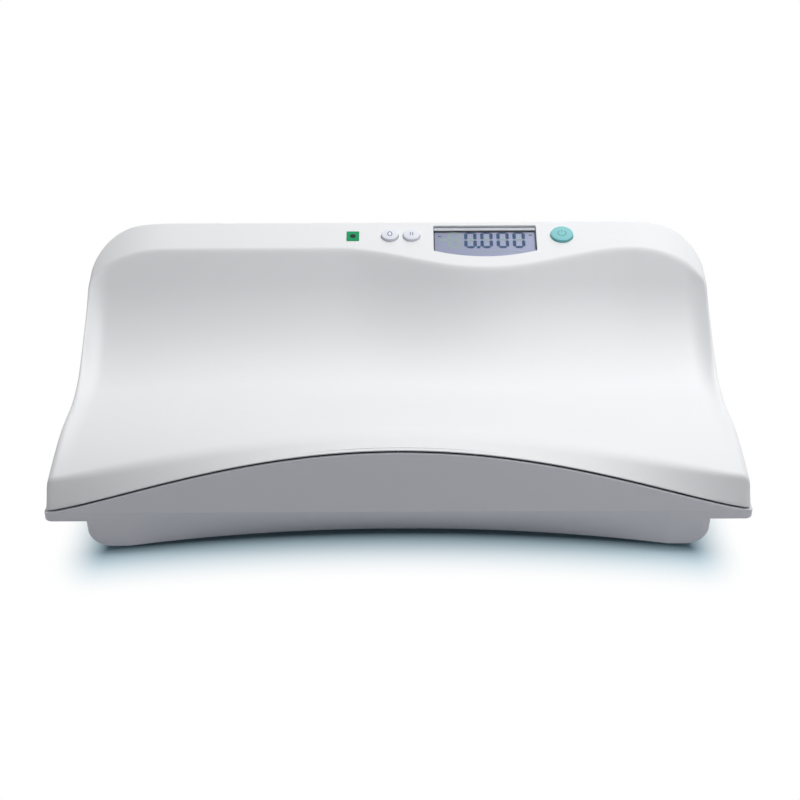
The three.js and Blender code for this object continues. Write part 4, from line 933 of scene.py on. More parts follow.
def base_moulding(b, f):
    """Steps that make the base: rim, tub, crescent and fence joined and hollowed, then ribs and bosses, then
    holes, battery bay, door recess and inlet."""
    floor = b.clearance + b.wall
    frame_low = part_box("base_frame")[0].z
    rim_low = RIM_TOP - b.rim_thickness
    bosses = [middle(f"frame_screw_{k}") for k in range(1, 5)]
    board_low, board_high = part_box("power_board")
    for x in (board_low.x + b.boss_radius, board_high.x - b.boss_radius):
        bosses += [(x, y) for y in (board_low.y + b.boss_radius, board_high.y - b.boss_radius)]
    studs = [middle(f"foot_wheel_{k}") for k in range(1, 5)]
    added = [plate(circle(x, y, b.boss_radius), floor - OVERRUN, frame_low - GAP) for x, y in bosses]
    count = int(b.recess_reach // b.rib_spacing)
    near, half = base_low.y + b.wall / 2, b.upstand_thickness / 2
    for x in b.rib_spacing * np.arange(-count, count + 1):
        top = lip_height(f, x) - WEIGH_GAP - b.wall
        added.append(block((x - half, near, RIM_TOP), (x + half, near + b.rib_depth, top)))
    holes = [plate(circle(x, y, b.boss_bore), floor - b.wall / 2, frame_low) for x, y in bosses]
    holes += [plate(circle(x, y, b.stud_bore), 0, frame_low) for x, y in studs]
    low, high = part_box("battery_door")
    lap, top = b.door_lap + GAP, b.clearance + b.door_thickness + GAP
    bay = block((low.x + lap, low.y + lap, 0), (high.x - lap, high.y - lap, floor + OVERRUN))
    recess = block((low.x - GAP, low.y - GAP, 0), (high.x + GAP, high.y + GAP + b.door_travel, top))
    inlet_low, inlet_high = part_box("dc_socket")
    inlet = ((inlet_low.x + inlet_high.x) / 2, (inlet_low.z + inlet_high.z) / 2)
    rear = base_high.y - b.tub_rear
    return [
        ("DIFFERENCE", rim_solid(b, f, b.wall, rim_low - OVERRUN)),
        ("UNION", tub_solid(b, 0, b.clearance, RIM_TOP)),
        ("UNION", joined([crescent(b, f), fence(b, f)])),
        ("DIFFERENCE", tub_solid(b, b.wall, floor, RIM_TOP + OVERRUN)),
        ("UNION", joined(added)),
        ("DIFFERENCE", joined(holes)),
        ("DIFFERENCE", bay),
        ("DIFFERENCE", recess),
        ("DIFFERENCE", barrel(*inlet, rear - 4 * b.wall, rear + OVERRUN, b.socket_bore)),
    ]


def wheel_disc(b, x, y, low, high):
    """A foot's wheel: a disc with rounded edges whose radius dips at its notches by the depth times an even
    power of a cosine."""

    def notched(turn):
        return 1 - b.notch_depth / b.wheel_radius * np.cos(b.wheel_notches / 2 * turn) ** NOTCH_POWER

    soft = b.wheel_rounding
    side = [(b.wheel_radius - inset, z) for z, inset in rounding(low, soft, -1) + rounding(high, soft, 1)]
    return turned(side, x, y, WHEEL_STEPS, notched)


def stud(b, x, y, low, high):
    """A foot's threaded stud: the radius falls from crest to root and back once a pitch, and the thread
    climbs by a pitch a turn."""
    turn = np.linspace(0, 2 * math.pi, STUD_STEPS, endpoint=False)
    levels = np.linspace(low - OVERRUN, high, THREAD_LEVELS * int((high - low) / b.thread_pitch))[:, None]
    phase = (levels / b.thread_pitch - turn / (2 * math.pi)) % 1
    crest = np.abs(2 * phase - 1)
    radius = b.stud_radius - b.thread_depth * crest
    rings = [x + radius * np.cos(turn), y + radius * np.sin(turn), np.broadcast_to(levels, radius.shape)]
    return skinned(np.stack(rings, -1))


def foot_sole(x, y, corners):
    """A foot's rubber sole: a disc with rounded edges and two ring grooves in its underside."""
    low, high = corners
    outer, depth = (high.x - low.x) / 2, (high.z - low.z) / 4
    profile = [(SOLE_POLE_SHARE * outer, low.z)]
    for groove in GROOVE_SHARES:
        profile += [(outer * (groove + s), low.z + d * depth) for s, d in GROOVE_PROFILE]
    profile += [(outer - inset, z) for z, inset in rounding(low.z, depth, -1) + rounding(high.z, depth, 1)]
    return turned(profile, x, y)


# Control head


def head_matrix(f):
    """From the strip's own frame, Y up the strip and Z out of it, to the scale's."""
    place = Matrix.Translation((0, TRAY_REAR, strip_top(f)))
    return place @ Matrix.Rotation(f.strip_tilt, 4, "X")


def window_outline(h, margin, top, softness):
    """The window's outline grown by a margin: a rectangle whose front side bulges by a parabola."""
    half = WINDOW_WIDTH / 2 + margin
    low = -h.window_top - h.window_side - margin
    share = np.linspace(-1, 1, WINDOW_STEPS + 1)
    front = np.column_stack([WINDOW_MIDDLE + half * share, low - h.window_bulge * (1 - share**2)])
    rear = np.array([[WINDOW_MIDDLE + half, -top + margin], [WINDOW_MIDDLE - half, -top + margin]])
    sides = [front, np.stack([front[-1], rear[0]]), rear, np.stack([rear[1], front[0]])]
    return soft_outline(sides, softness)


def sight_outline(h, inset):
    """The opening in the bezel through which the panel shows, drawn in by an inset."""
    return window_outline(h, -h.border - inset, h.window_top + h.bar_depth - h.border, h.window_corner / 2)


def hole(outline, depth, softness):
    """A cutting solid for an opening in the strip whose upper edge is rounded: below the surface it has the
    outline, and near it each ring is wider by r (1 - sin a) at the depth r (1 - cos a)."""
    turn = np.linspace(math.pi / 2, 0, ROUND_STEPS)
    levels = [(-depth, 0)]
    levels += [(-softness * (1 - math.cos(a)), -softness * (1 - math.sin(a))) for a in turn]
    levels.append((OVERRUN, -softness))
    return skinned(ring_stack(outline, levels))


def corners_in(back, name):
    """A node's corners in another frame, by the matrix that leads back to it."""
    points = np.array([v.co for v in frame["nodes"][name].data.vertices])
    return points @ back[:3, :3].T + back[:3, 3]


def key_list(h):
    """Node, body, place, radius and material slot of each key."""
    return [
        ("start_button", "start_key", h.start_x, h.start_radius, "teal_cap"),
        ("hold_button", "hold_key", h.hold_x, h.small_radius, "pale_cap"),
        ("tare_button", "tare_key", h.tare_x, h.small_radius, "pale_cap"),
    ]


def key_top(h, radius, distance):
    """Height of a key's top over the strip at a distance from its middle: rise less crown times the squared
    share of the radius."""
    return h.key_rise - h.key_crown * (distance / radius) ** 2


def key_cap(h, x, radius, low, under):
    """A key turned about its axis: stem from a low level, flange that ends under the strip, side, rounded
    edge and domed top."""
    inner, flange = radius - h.key_edge, radius + h.key_flange
    foot = under - h.flange_thickness
    side = [(radius - inset, z) for z, inset in rounding(key_top(h, radius, inner), h.key_edge, 1)]
    top = [(inner * s, key_top(h, radius, inner * s)) for s in CROWN_SHARES]
    profile = [(h.key_stem, low), (h.key_stem, foot), (flange, foot), (flange, under), (radius, under)]
    return turned([*profile, *side, *top], x, h.key_y)


def arc(x, y, radius, start, end, steps=SIGN_STEPS):
    """Points of an arc about a middle: centre + r (cos a, sin a), between two angles in degrees."""
    turn = np.radians(np.linspace(start, end, steps + 1))
    return np.column_stack([x + radius * np.cos(turn), y + radius * np.sin(turn)])


def key_sign(h, body, x, radius):
    """A key's printed sign, a film that follows its domed top: a ring open at the top with a bar in it for
    start, two bars for hold, and a plain nought for tare."""
    y = h.key_y
    size = radius * h.sign_share

    def level(offset):
        return lambda points: key_top(h, radius, np.hypot(points[:, 0] - x, points[:, 1] - y)) + offset

    def upright(place, low, high):
        count = SIGN_BAR_STEPS + 1
        return np.column_stack([np.full(count, place), np.linspace(y + low * size, y + high * size, count)])

    if body == "start_key":
        lines = [arc(x, y, size, *START_RING), upright(x, *START_BAR)]
    elif body == "hold_key":
        step = HOLD_SPACING_SHARE * size
        lines = [upright(x + side * step, -HOLD_BAR_SHARE, HOLD_BAR_SHARE) for side in (-1, 1)]
    else:
        oval = arc(0, 0, size, -90, 270, NOUGHT_STEPS) * (NOUGHT_WIDTH_SHARE, 1) + (x, y)
        half = NOUGHT_STEPS // 2
        lines = [oval[: half + 1], oval[half:]]
    return joined([stroke(line, h.sign_stroke, level(-h.film), level(h.film)) for line in lines])


def segment(start, end, width, low, high):
    """One segment of a digit: a bar with pointed ends, which stop short of the places where segments meet."""
    start, end = np.array(start), np.array(end)
    step = (end - start) / np.linalg.norm(end - start)
    tip, shoulder, point = TIP_SHARE * width, SHOULDER_SHARE * width, POINT_SHARE * width
    points = [start + step * tip, start + step * shoulder, end - step * shoulder, end - step * tip]
    return stroke(points, [point, width, width, point], low, high)


def digit(h, x, which, low, high):
    """The segments of a digit, named a to g from the top clockwise, with g in the middle."""
    across, along = (h.digit_width - h.stroke) / 2, (h.digit_height - h.stroke) / 2
    y = -h.digit_middle
    spots = {(i, j): (x + i * across, y + j * along) for i in (-1, 1) for j in (-1, 0, 1)}
    ends = {
        "a": ((-1, 1), (1, 1)), "b": ((1, 1), (1, 0)), "c": ((1, 0), (1, -1)), "d": ((1, -1), (-1, -1)),
        "e": ((-1, -1), (-1, 0)), "f": ((-1, 0), (-1, 1)), "g": ((-1, 0), (1, 0)),
    }
    return [segment(spots[ends[k][0]], spots[ends[k][1]], h.stroke, low, high) for k in which]


def dash(x, y, half, width, low, high):
    """A level dash that reaches half its length to both sides of a place."""
    return stroke([(x - half, y), (x + half, y)], width, low, high)


def lit_segments(h, film):
    """Four noughts, the point behind the first and a small dash at each side of the display."""
    shapes = []
    for k in range(DIGIT_COUNT):
        shapes += digit(h, h.digit_left + k * h.digit_pitch, "abcdef", *film)
    point_y = -h.digit_middle - h.digit_height / 2 + h.stroke / 2
    point = rectangle(h.digit_left + h.digit_pitch / 2, point_y, h.stroke, h.stroke)
    shapes.append(plate(point, *film))
    for x, y in ((h.mark_left, h.mark_left_y), (h.mark_right, h.mark_right_y)):
        shapes.append(dash(x, -y, h.mark_size, h.mark_size, *film))
    return joined(shapes)


def unlit_segments(h, film):
    """The pale segments: a minus sign and a digit on the left, the noughts' bars and a row of dashes."""
    shapes = digit(h, h.digit_left - h.digit_pitch, "abcdefg", *film)
    for k in range(DIGIT_COUNT):
        shapes += digit(h, h.digit_left + k * h.digit_pitch, "g", *film)
    shapes.append(dash(h.minus_x, -h.digit_middle, h.minus_length / 2, h.stroke, *film))
    for k in range(ROW_MARKS):
        shapes.append(dash(h.row_left + k * h.row_pitch, -h.row_y, h.row_mark / 2, h.mark_size, *film))
    return joined(shapes)


def tick_row(h, y, width, level):
    """Even upright ticks on the display's bar, every fifth of them longer."""
    foot = y - h.bar_height * TICK_FOOT_SHARE
    shapes = []
    for k, share in enumerate(np.linspace(-TICK_SPAN_SHARE, TICK_SPAN_SHARE, TICK_COUNT)):
        x = WINDOW_MIDDLE + width * share
        rise = h.bar_height * (TICK_SHARE if k % TICK_GROUP else LONG_TICK_SHARE)
        shapes.append(stroke([(x, foot), (x, foot + rise)], h.tick_width, level, level + 2 * h.film))
    return joined(shapes)


# Materials


def add(tree, kind, links=(), values=(), tones=(), **settings):
    """A node of a kind. Settings name its properties or input sockets, links are (input, output socket)
    pairs, values are (input, value) pairs for inputs known by number, and tones are a ramp's colours."""
    node = tree.nodes.new(kind)
    for name, value in settings.items():
        label = name.replace("_", " ")
        if label in node.inputs:
            node.inputs[label].default_value = value
        else:
            setattr(node, name, value)
    for name, source in links:
        tree.links.new(source, node.inputs[name])
    for name, value in values:
        node.inputs[name].default_value = value
    for stop, tone in enumerate(tones):
        node.color_ramp.elements[stop].color = tone
    return node


def new_material(name):
    """An empty node material with its Object coordinates; close adds its surface output."""
    material = bpy.data.materials.new(name)
    material.use_nodes = True
    tree = material.node_tree
    tree.nodes.clear()
    place = add(tree, "ShaderNodeTexCoord").outputs["Object"]
    return material, tree, place


def close(tree, shader):
    """Joins a shader to the surface output."""
    add(tree, "ShaderNodeOutputMaterial", [("Surface", shader.outputs[0])])


def shade(tone, factor):
    """A linear colour, lighter or darker by a factor, with full alpha."""
    return (*[min(c * factor, 1) for c in tone], 1)


def moulded_plastic(name, tone, roughness, grain, depth, specular=0.5):
    """ABS or the like, moulded in a spark-eroded tool: an even colour with a hardly visible cloud from the
    melt's flow, a fine pebble grain that breaks up the highlight, and a satin gloss that varies a little."""
    material, tree, place = new_material(name)
    cloud = add(tree, "ShaderNodeTexNoise", [("Vector", place)], Scale=9, Detail=3, Roughness=0.5)
    mixed = [(6, shade(tone, 0.985)), (7, shade(tone, 1.01))]
    tint = add(tree, "ShaderNodeMix", [("Factor", cloud.outputs["Fac"])], mixed, data_type="RGBA")
    pebble = add(tree, "ShaderNodeTexNoise", [("Vector", place)], Scale=1 / grain, Detail=2, Roughness=0.6)
    low, high = roughness - 0.05, roughness + 0.05
    gloss = add(tree, "ShaderNodeMapRange", [("Value", pebble.outputs["Fac"])], To_Min=low, To_Max=high)
    bump = add(tree, "ShaderNodeBump", [("Height", pebble.outputs["Fac"])], Strength=0.35, Distance=depth)
    links = [
        ("Base Color", tint.outputs[2]),
        ("Roughness", gloss.outputs["Result"]),
        ("Normal", bump.outputs["Normal"]),
    ]
    close(tree, add(tree, "ShaderNodeBsdfPrincipled", links, IOR=1.5, Specular_IOR_Level=specular))
    return material


def worked_metal(name, tone, roughness, grain, stretch):
    """Sheet steel, aluminium or brass: a metal whose roughness and colour follow fine lines left by rolling
    or turning, drawn out along X by a stretch."""
    material, tree, place = new_material(name)
    drawn = add(tree, "ShaderNodeMapping", [("Vector", place)], Scale=(1 / stretch, 1, 1))
    place = drawn.outputs["Vector"]
    lines = add(tree, "ShaderNodeTexNoise", [("Vector", place)], Scale=1 / grain, Detail=4, Roughness=0.6)
    tones = (shade(tone, 0.82), shade(tone, 1.06))
    ramp = add(tree, "ShaderNodeValToRGB", [("Fac", lines.outputs["Fac"])], tones=tones)
    low, high = roughness - 0.08, roughness + 0.1
    gloss = add(tree, "ShaderNodeMapRange", [("Value", lines.outputs["Fac"])], To_Min=low, To_Max=high)
    bump = add(tree, "ShaderNodeBump", [("Height", lines.outputs["Fac"])], Strength=0.2, Distance=0.05 * MM)
    links = [
        ("Base Color", ramp.outputs["Color"]),
        ("Roughness", gloss.outputs["Result"]),
        ("Normal", bump.outputs["Normal"]),
    ]
    close(tree, add(tree, "ShaderNodeBsdfPrincipled", links, Metallic=1.0))
    return material


def printed_ink(name, tone, roughness, specular=0.5):
    """Screen-printed ink or a liquid crystal segment: a flat film whose density is a little uneven."""
    material, tree, place = new_material(name)
    density = add(tree, "ShaderNodeTexNoise", [("Vector", place)], Scale=1 / (0.8 * MM), Detail=2)
    tones = (shade(tone, 0.88), shade(tone, 1.1))
    ramp = add(tree, "ShaderNodeValToRGB", [("Fac", density.outputs["Fac"])], tones=tones)
    links = [("Base Color", ramp.outputs["Color"])]
    shader = add(tree, "ShaderNodeBsdfPrincipled", links, Roughness=roughness, Specular_IOR_Level=specular)
    close(tree, shader)
    return material


def crystal_glass(name, tone):
    """Liquid crystal panel behind its polariser: a smooth lavender-grey film with painted light, paler to the
    right where the light falls in, with a faint pearly speckle from the reflector behind."""
    material, tree, place = new_material(name)
    # Painted light: the panel runs from a darker to a paler copy of its tone, left to right.
    start, scale = (-lens_low.x / WINDOW_WIDTH, 0, 0), (1 / WINDOW_WIDTH, 0, 0)
    across = add(tree, "ShaderNodeMapping", [("Vector", place)], Location=start, Scale=scale)
    painted_light_sweep = add(tree, "ShaderNodeSeparateXYZ", [("Vector", across.outputs[0])])
    tones = (shade(tone, 0.9), shade(tone, 1.15))
    ramp = add(tree, "ShaderNodeValToRGB", [("Fac", painted_light_sweep.outputs["X"])], tones=tones)
    speckle = add(tree, "ShaderNodeTexNoise", [("Vector", place)], Scale=1 / (0.5 * MM), Detail=1)
    bump = add(tree, "ShaderNodeBump", [("Height", speckle.outputs["Fac"])], Strength=0.1, Distance=0.02 * MM)
    links = [("Base Color", ramp.outputs["Color"]), ("Normal", bump.outputs["Normal"])]
    close(tree, add(tree, "ShaderNodeBsdfPrincipled", links, Roughness=0.6, IOR=1.5, Specular_IOR_Level=0.1))
    return material


def clear_acrylic(name):
    """Polished acrylic pane: it shows what lies behind it, and its upper face mirrors a little more at a flat
    angle. Its underside doesn't mirror, because light isn't bent on its way through here."""
    material, tree, place = new_material(name)
    smear = add(tree, "ShaderNodeTexNoise", [("Vector", place)], Scale=60, Detail=2)
    gloss = add(tree, "ShaderNodeMapRange", [("Value", smear.outputs["Fac"])], To_Min=0.04, To_Max=0.1)
    mirror = add(tree, "ShaderNodeBsdfGlossy", [("Roughness", gloss.outputs["Result"])])
    through = add(tree, "ShaderNodeBsdfTransparent", Color=(0.97, 0.975, 0.985, 1))
    edge = add(tree, "ShaderNodeFresnel", IOR=1.2)
    side = add(tree, "ShaderNodeNewGeometry").outputs["Backfacing"]
    front = add(tree, "ShaderNodeMath", [(1, side)], [(0, 1)], operation="SUBTRACT")
    share = add(tree, "ShaderNodeMath", [(0, edge.outputs[0]), (1, front.outputs[0])], operation="MULTIPLY")
    links = [("Fac", share.outputs[0]), (1, through.outputs[0]), (2, mirror.outputs[0])]
    close(tree, add(tree, "ShaderNodeMixShader", links))
    return material


def moulded_rubber(name, tone):
    """Rubber or silicone: matt, slightly dusty on its high spots, with a soft uneven skin."""
    material, tree, place = new_material(name)
    dust = add(tree, "ShaderNodeTexNoise", [("Vector", place)], Scale=1 / (3 * MM), Detail=5, Roughness=0.65)
    tones = (shade(tone, 0.85), shade(tone, 1.3))
    ramp = add(tree, "ShaderNodeValToRGB", [("Fac", dust.outputs["Fac"])], tones=tones)
    bump = add(tree, "ShaderNodeBump", [("Height", dust.outputs["Fac"])], Strength=0.3, Distance=0.1 * MM)
    links = [("Base Color", ramp.outputs["Color"]), ("Normal", bump.outputs["Normal"])]
    close(tree, add(tree, "ShaderNodeBsdfPrincipled", links, Roughness=0.8))
    return material


def circuit_lacquer(name, tone):
    """Circuit board under solder mask: a glossy green lacquer with the woven glass cloth faintly showing."""
    material, tree, place = new_material(name)
    weave = add(tree, "ShaderNodeTexWave", [("Vector", place)], Scale=1 / (1.2 * MM) / 6, Distortion=1.5)
    tones = (shade(tone, 0.85), shade(tone, 1.15))
    ramp = add(tree, "ShaderNodeValToRGB", [("Fac", weave.outputs["Fac"])], tones=tones)
    close(tree, add(tree, "ShaderNodeBsdfPrincipled", [("Base Color", ramp.outputs["Color"])], Roughness=0.3))
    return material


def background_rays(tree):
    """1 for the rays that show the background: from the camera, off a glossy face and through glass."""
    path = add(tree, "ShaderNodeLightPath")
    direct = [(0, path.outputs["Is Camera Ray"]), (1, path.outputs["Is Glossy Ray"])]
    shown = add(tree, "ShaderNodeMath", direct, operation="MAXIMUM")
    links = [(0, shown.outputs[0]), (1, path.outputs["Is Transmission Ray"])]
    return add(tree, "ShaderNodeMath", links, operation="MAXIMUM")


def floor_paper(name, half, fade, bow):
    """Seamless white paper: matt, with a faint mottle and a painted shadow, which is partly real: to the eye
    the paper is tinted a cool teal and shaded by the lamps, while a white glow paints the shadow's fade over
    a distance from the object's plan, so that beyond it the paper is clear white to the eye. The plan's front
    bows forward by a share of the squared distance from the middle. The shadow's share is the square of the
    part of the way that is left."""
    material, tree, place = new_material(name)
    across = add(tree, "ShaderNodeVectorMath", [(0, place)], operation="ABSOLUTE")
    x, y, _ = add(tree, "ShaderNodeSeparateXYZ", [("Vector", across.outputs[0])]).outputs
    square = add(tree, "ShaderNodeMath", [(0, x), (1, x)], operation="MULTIPLY")
    links = [(0, square.outputs[0]), (2, y)]
    drawn = add(tree, "ShaderNodeMath", links, [(1, -bow)], operation="MULTIPLY_ADD")
    bowed = add(tree, "ShaderNodeCombineXYZ", [("X", x), ("Y", drawn.outputs[0])])
    scaled = [(1, (1 / fade.x, 1 / fade.y, 0)), (2, (-half.x / fade.x, -half.y / fade.y, 0))]
    past = add(tree, "ShaderNodeVectorMath", [(0, bowed.outputs[0])], scaled, operation="MULTIPLY_ADD")
    outside = add(tree, "ShaderNodeVectorMath", [(0, past.outputs[0])], operation="MAXIMUM")
    distance = add(tree, "ShaderNodeVectorMath", [(0, outside.outputs[0])], operation="LENGTH")
    # Painted shadow: its share falls from 1 inside the plan to 0 at the end of the fade.
    left = add(tree, "ShaderNodeMapRange", [("Value", distance.outputs["Value"])], To_Min=1, To_Max=0)
    shadow = add(tree, "ShaderNodeMath", [(0, left.outputs[0]), (1, left.outputs[0])], operation="MULTIPLY")
    clear = add(tree, "ShaderNodeMath", [(1, shadow.outputs[0])], [(0, 1)], operation="SUBTRACT")
    mottle = add(tree, "ShaderNodeTexNoise", [("Vector", place)], Scale=3, Detail=2).outputs["Fac"]
    tones = [shade(linear(code), 1) for code in ("#c6cacc", "#cacdce")]
    white = add(tree, "ShaderNodeValToRGB", [("Fac", mottle)], tones=tones)
    # Painted shadow colour: the cool teal the eye sees on the paper, left showing near the object.
    tones = [shade(linear(code), 1) for code in ("#a2c3d2", "#aacbd9")]
    cast = add(tree, "ShaderNodeValToRGB", [("Fac", mottle)], tones=tones)
    seen = background_rays(tree)
    links = [(0, seen.outputs[0]), (6, white.outputs[0]), (7, cast.outputs[0])]
    tinted = add(tree, "ShaderNodeMix", links, data_type="RGBA")
    paper = add(tree, "ShaderNodeBsdfDiffuse", [("Color", tinted.outputs[2])])
    # Painted shadow: the glow that paints the fade is pale blue where it starts and white where it is full.
    tones = [shade(linear(code), 1) for code in ("#d2f1ff", "#ffffff")]
    tone = add(tree, "ShaderNodeValToRGB", [("Fac", clear.outputs[0])], tones=tones)
    painted_fade_glow = add(tree, "ShaderNodeEmission", [("Color", tone.outputs[0])], Strength=1.0)
    share = add(tree, "ShaderNodeMath", [(0, seen.outputs[0]), (1, clear.outputs[0])], operation="MULTIPLY")
    links = [("Fac", share.outputs[0]), (1, paper.outputs[0]), (2, painted_fade_glow.outputs[0])]
    close(tree, add(tree, "ShaderNodeMixShader", links))
    return material


def make_materials(c):
    """All finishes by the name of the record's material slot, and those of prints by their own name."""
    return {
        "white_abs": moulded_plastic("white_abs_moulding", c.tray_white, 0.48, 0.9 * MM, 0.05 * MM),
        # Painted shade: one plastic with the tray, given a greyer tone.
        "housing_abs": moulded_plastic("housing_abs_moulding", c.base_white_and_painted_shade, 0.5, 0.9 * MM, 0.05 * MM),
        "teal_cap": moulded_plastic("teal_key_plastic", c.start_teal, 0.42, 0.6 * MM, 0.02 * MM),
        "pale_cap": moulded_plastic("pale_key_plastic", c.key_pale, 0.4, 0.6 * MM, 0.02 * MM),
        "green_sticker": printed_ink("green_vinyl_film", c.label_green, 0.6, 0.15),
        "dark_bezel": moulded_plastic("dark_bezel_plastic", linear("#3b4048"), 0.5, 0.6 * MM, 0.02 * MM),
        "black_nylon": moulded_plastic("black_nylon_moulding", linear("#2a2c30"), 0.55, 0.8 * MM, 0.06 * MM),
        "lcd_glass": crystal_glass("liquid_crystal_polariser", c.glass_tint),
        "clear_lens": clear_acrylic("polished_acrylic"),
        "reflector_film": printed_ink("pearl_reflector_film", linear("#d5d8dc"), 0.4),
        "zinc_steel": worked_metal("zinc_plated_steel", linear("#b9bcc0"), 0.38, 1.2 * MM, 6),
        "anodised_alloy": worked_metal("anodised_aluminium", linear("#c9ccd1"), 0.42, 0.8 * MM, 12),
        "turned_brass": worked_metal("turned_brass", linear("#c8a550"), 0.32, 0.6 * MM, 4),
        "nickel_contact": worked_metal("nickel_plated_spring_steel", linear("#c4c5c2"), 0.3, 0.7 * MM, 3),
        "foot_rubber": moulded_rubber("moulded_rubber_sole", linear("#2e3033")),
        "silicone": moulded_rubber("silicone_key_mat", linear("#c9ccd2")),
        "cable_jacket": moulded_rubber("pvc_cable_jacket", linear("#9da1a8")),
        "circuit_board": circuit_lacquer("solder_mask_lacquer", linear("#1f6b45")),
        "battery_jacket": printed_ink("shrunk_battery_film", linear("#3c4a5a"), 0.3),
        "digit_ink": printed_ink("lit_crystal_segment", c.digit_blue, 0.6, 0.1),
        "ghost_ink": printed_ink("unlit_crystal_segment", c.ghost_green, 0.6, 0.1),
        "bar_white": printed_ink("white_bar_print", linear("#e6eaec"), 0.5),
        "bar_grey": printed_ink("grey_tick_print", linear("#7d858c"), 0.5),
        "key_ink": printed_ink("grey_key_print", linear("#5b6078"), 0.5),
        "start_ink": printed_ink("dark_teal_key_print", linear("#4b8f90"), 0.5),
        "label_ink": printed_ink("black_label_print", linear("#10241d"), 0.6, 0.15),
    }


finishes = {}


# Operators


class SCALE_OT_finishes(bpy.types.Operator):
    """Makes every finish and dresses the construction model's own pieces in them"""

    bl_idname = "scale.finishes"
    bl_label = "Finishes"

    def execute(self, context):
        finishes.update(make_materials(context.scene.scale_finish))
        slots = {row["node"]: row["material_slot"] for row in frame["record"]["subparts"]}
        for name, node in frame["nodes"].items():
            node.data.materials.clear()
            node.data.materials.append(finishes[slots[name]])
        return {"FINISHED"}


class SCALE_OT_tray(bpy.types.Operator):
    """Builds the tray moulding with its window, key holes and screw posts"""

    bl_idname = "scale.tray"
    bl_label = "Tray moulding"

    def execute(self, context):
        f, h = context.scene.scale_tray, context.scene.scale_head
        place = head_matrix(f)
        frame_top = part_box("tray_frame")[1].z
        back = np.array(place.inverted())
        board = frame["nodes"]["head_board"]
        posts, bores = [], []
        for k in range(1, 5):
            x, y = middle(f"tray_screw_{k}")
            ring = circle(x, y, f.post_radius)
            top = tray_surface(f, ring[:, 0], ring[:, 1] - TRAY_FRONT) - f.wall / 2
            low = np.column_stack([ring, np.full(len(ring), frame_top + GAP)])
            posts.append(skinned(np.stack([low, np.column_stack([ring, top])])))
            bores.append(plate(circle(x, y, h.screw_bore), frame_top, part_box(f"tray_screw_{k}")[1].z))
            screw = corners_in(back, f"head_screw_{k}")
            spot = (screw.min(0) + screw.max(0))[:2] / 2
            foot = corners_in(back, board.name)[:, 2].max() + GAP
            posts.append(moved(plate(circle(*spot, h.post_radius), foot, -f.wall / 2), place))
            bores.append(moved(plate(circle(*spot, h.screw_bore), foot - OVERRUN, -f.wall), place))
        steps = [("UNION", joined(posts)), ("DIFFERENCE", joined(bores))]
        outline = window_outline(h, GAP, h.window_top, h.window_corner)
        cuts = [("DIFFERENCE", moved(hole(outline, 3 * f.wall, h.window_edge), place))]
        for _, _, x, radius, _ in key_list(h):
            opening = hole(circle(x, h.key_y, radius + GAP), 3 * f.wall, h.window_edge)
            cuts.append(("DIFFERENCE", moved(opening, place)))
        mesh = carved("tray_moulding", tray_moulding(f), steps + cuts)
        show("tray_moulding", mesh, "platform", "white_abs", ["tray_shell"])
        return {"FINISHED"}


class SCALE_OT_base(bpy.types.Operator):
    """Builds the base housing with its rim, tub, crescent front and inner fence"""

    bl_idname = "scale.base"
    bl_label = "Base housing"

    def execute(self, context):
        b, f = context.scene.scale_base, context.scene.scale_tray
        rim = rim_solid(b, f, 0, RIM_TOP - b.rim_thickness)
        mesh = carved("base_moulding", rim, base_moulding(b, f))
        show("base_moulding", mesh, "base", "housing_abs", ["base_shell"], smooth=BASE_SMOOTH_ANGLE)
        return {"FINISHED"}


class SCALE_OT_display(bpy.types.Operator):
    """Builds the display: pane, bezel, printed bar, crystal panel and its segments"""

    bl_idname = "scale.display"
    bl_label = "Display"

    def execute(self, context):
        f, h = context.scene.scale_tray, context.scene.scale_head
        place = head_matrix(f)
        back = np.array(place.inverted())

        def span(name):
            points = corners_in(back, name)
            return points[:, 2].min(), points[:, 2].max()

        low, high = span("display_lens")
        pane = plate(window_outline(h, 0, h.window_top, h.window_corner), low, high, h.pane_rounding)
        self.put("display_pane", pane, place, "clear_lens", ["display_lens"])
        low, high = span("display_bezel")
        lap = window_outline(h, h.bezel_lap, h.window_top + 2 * h.bezel_lap, h.window_corner)
        opening = plate(sight_outline(h, 0), low - OVERRUN, high + OVERRUN)
        bezel = plate(window_outline(h, 0, h.window_top, h.window_corner), low, high, h.pane_rounding)
        steps = [("UNION", plate(lap, low, -f.wall - GAP)), ("DIFFERENCE", opening)]
        mesh = carved("display_frame", bezel, steps)
        mesh.transform(place)
        show("display_frame", mesh, "platform", "dark_bezel", ["display_bezel"])
        width, bar_y = WINDOW_WIDTH - 2 * h.border, -h.bar_top - h.bar_height / 2
        bar = plate(rectangle(WINDOW_MIDDLE, bar_y, width, h.bar_height), high - h.film, high + h.film)
        self.put("bar_print", bar, place, "dark_bezel", finish="bar_white")
        self.put("bar_ticks", tick_row(h, bar_y, width, high), place, "dark_bezel", finish="bar_grey")
        low, high = span("lcd_panel")
        panel = plate(sight_outline(h, GAP), low, high, h.pane_rounding)
        self.put("crystal_panel", panel, place, "lcd_glass", ["lcd_panel"])
        film = (high - h.film, high + h.film)
        self.put("segments_lit", lit_segments(h, film), place, "lcd_glass", finish="digit_ink")
        self.put("segments_unlit", unlit_segments(h, film), place, "lcd_glass", finish="ghost_ink")
        return {"FINISHED"}

    def put(self, name, shape, place, slot, replaced=(), finish=None):
        """Shows a shape, given in the strip's own frame, as a piece of the platform."""
        show(name, new_mesh(name, *moved(shape, place)), "platform", slot, replaced, finish)


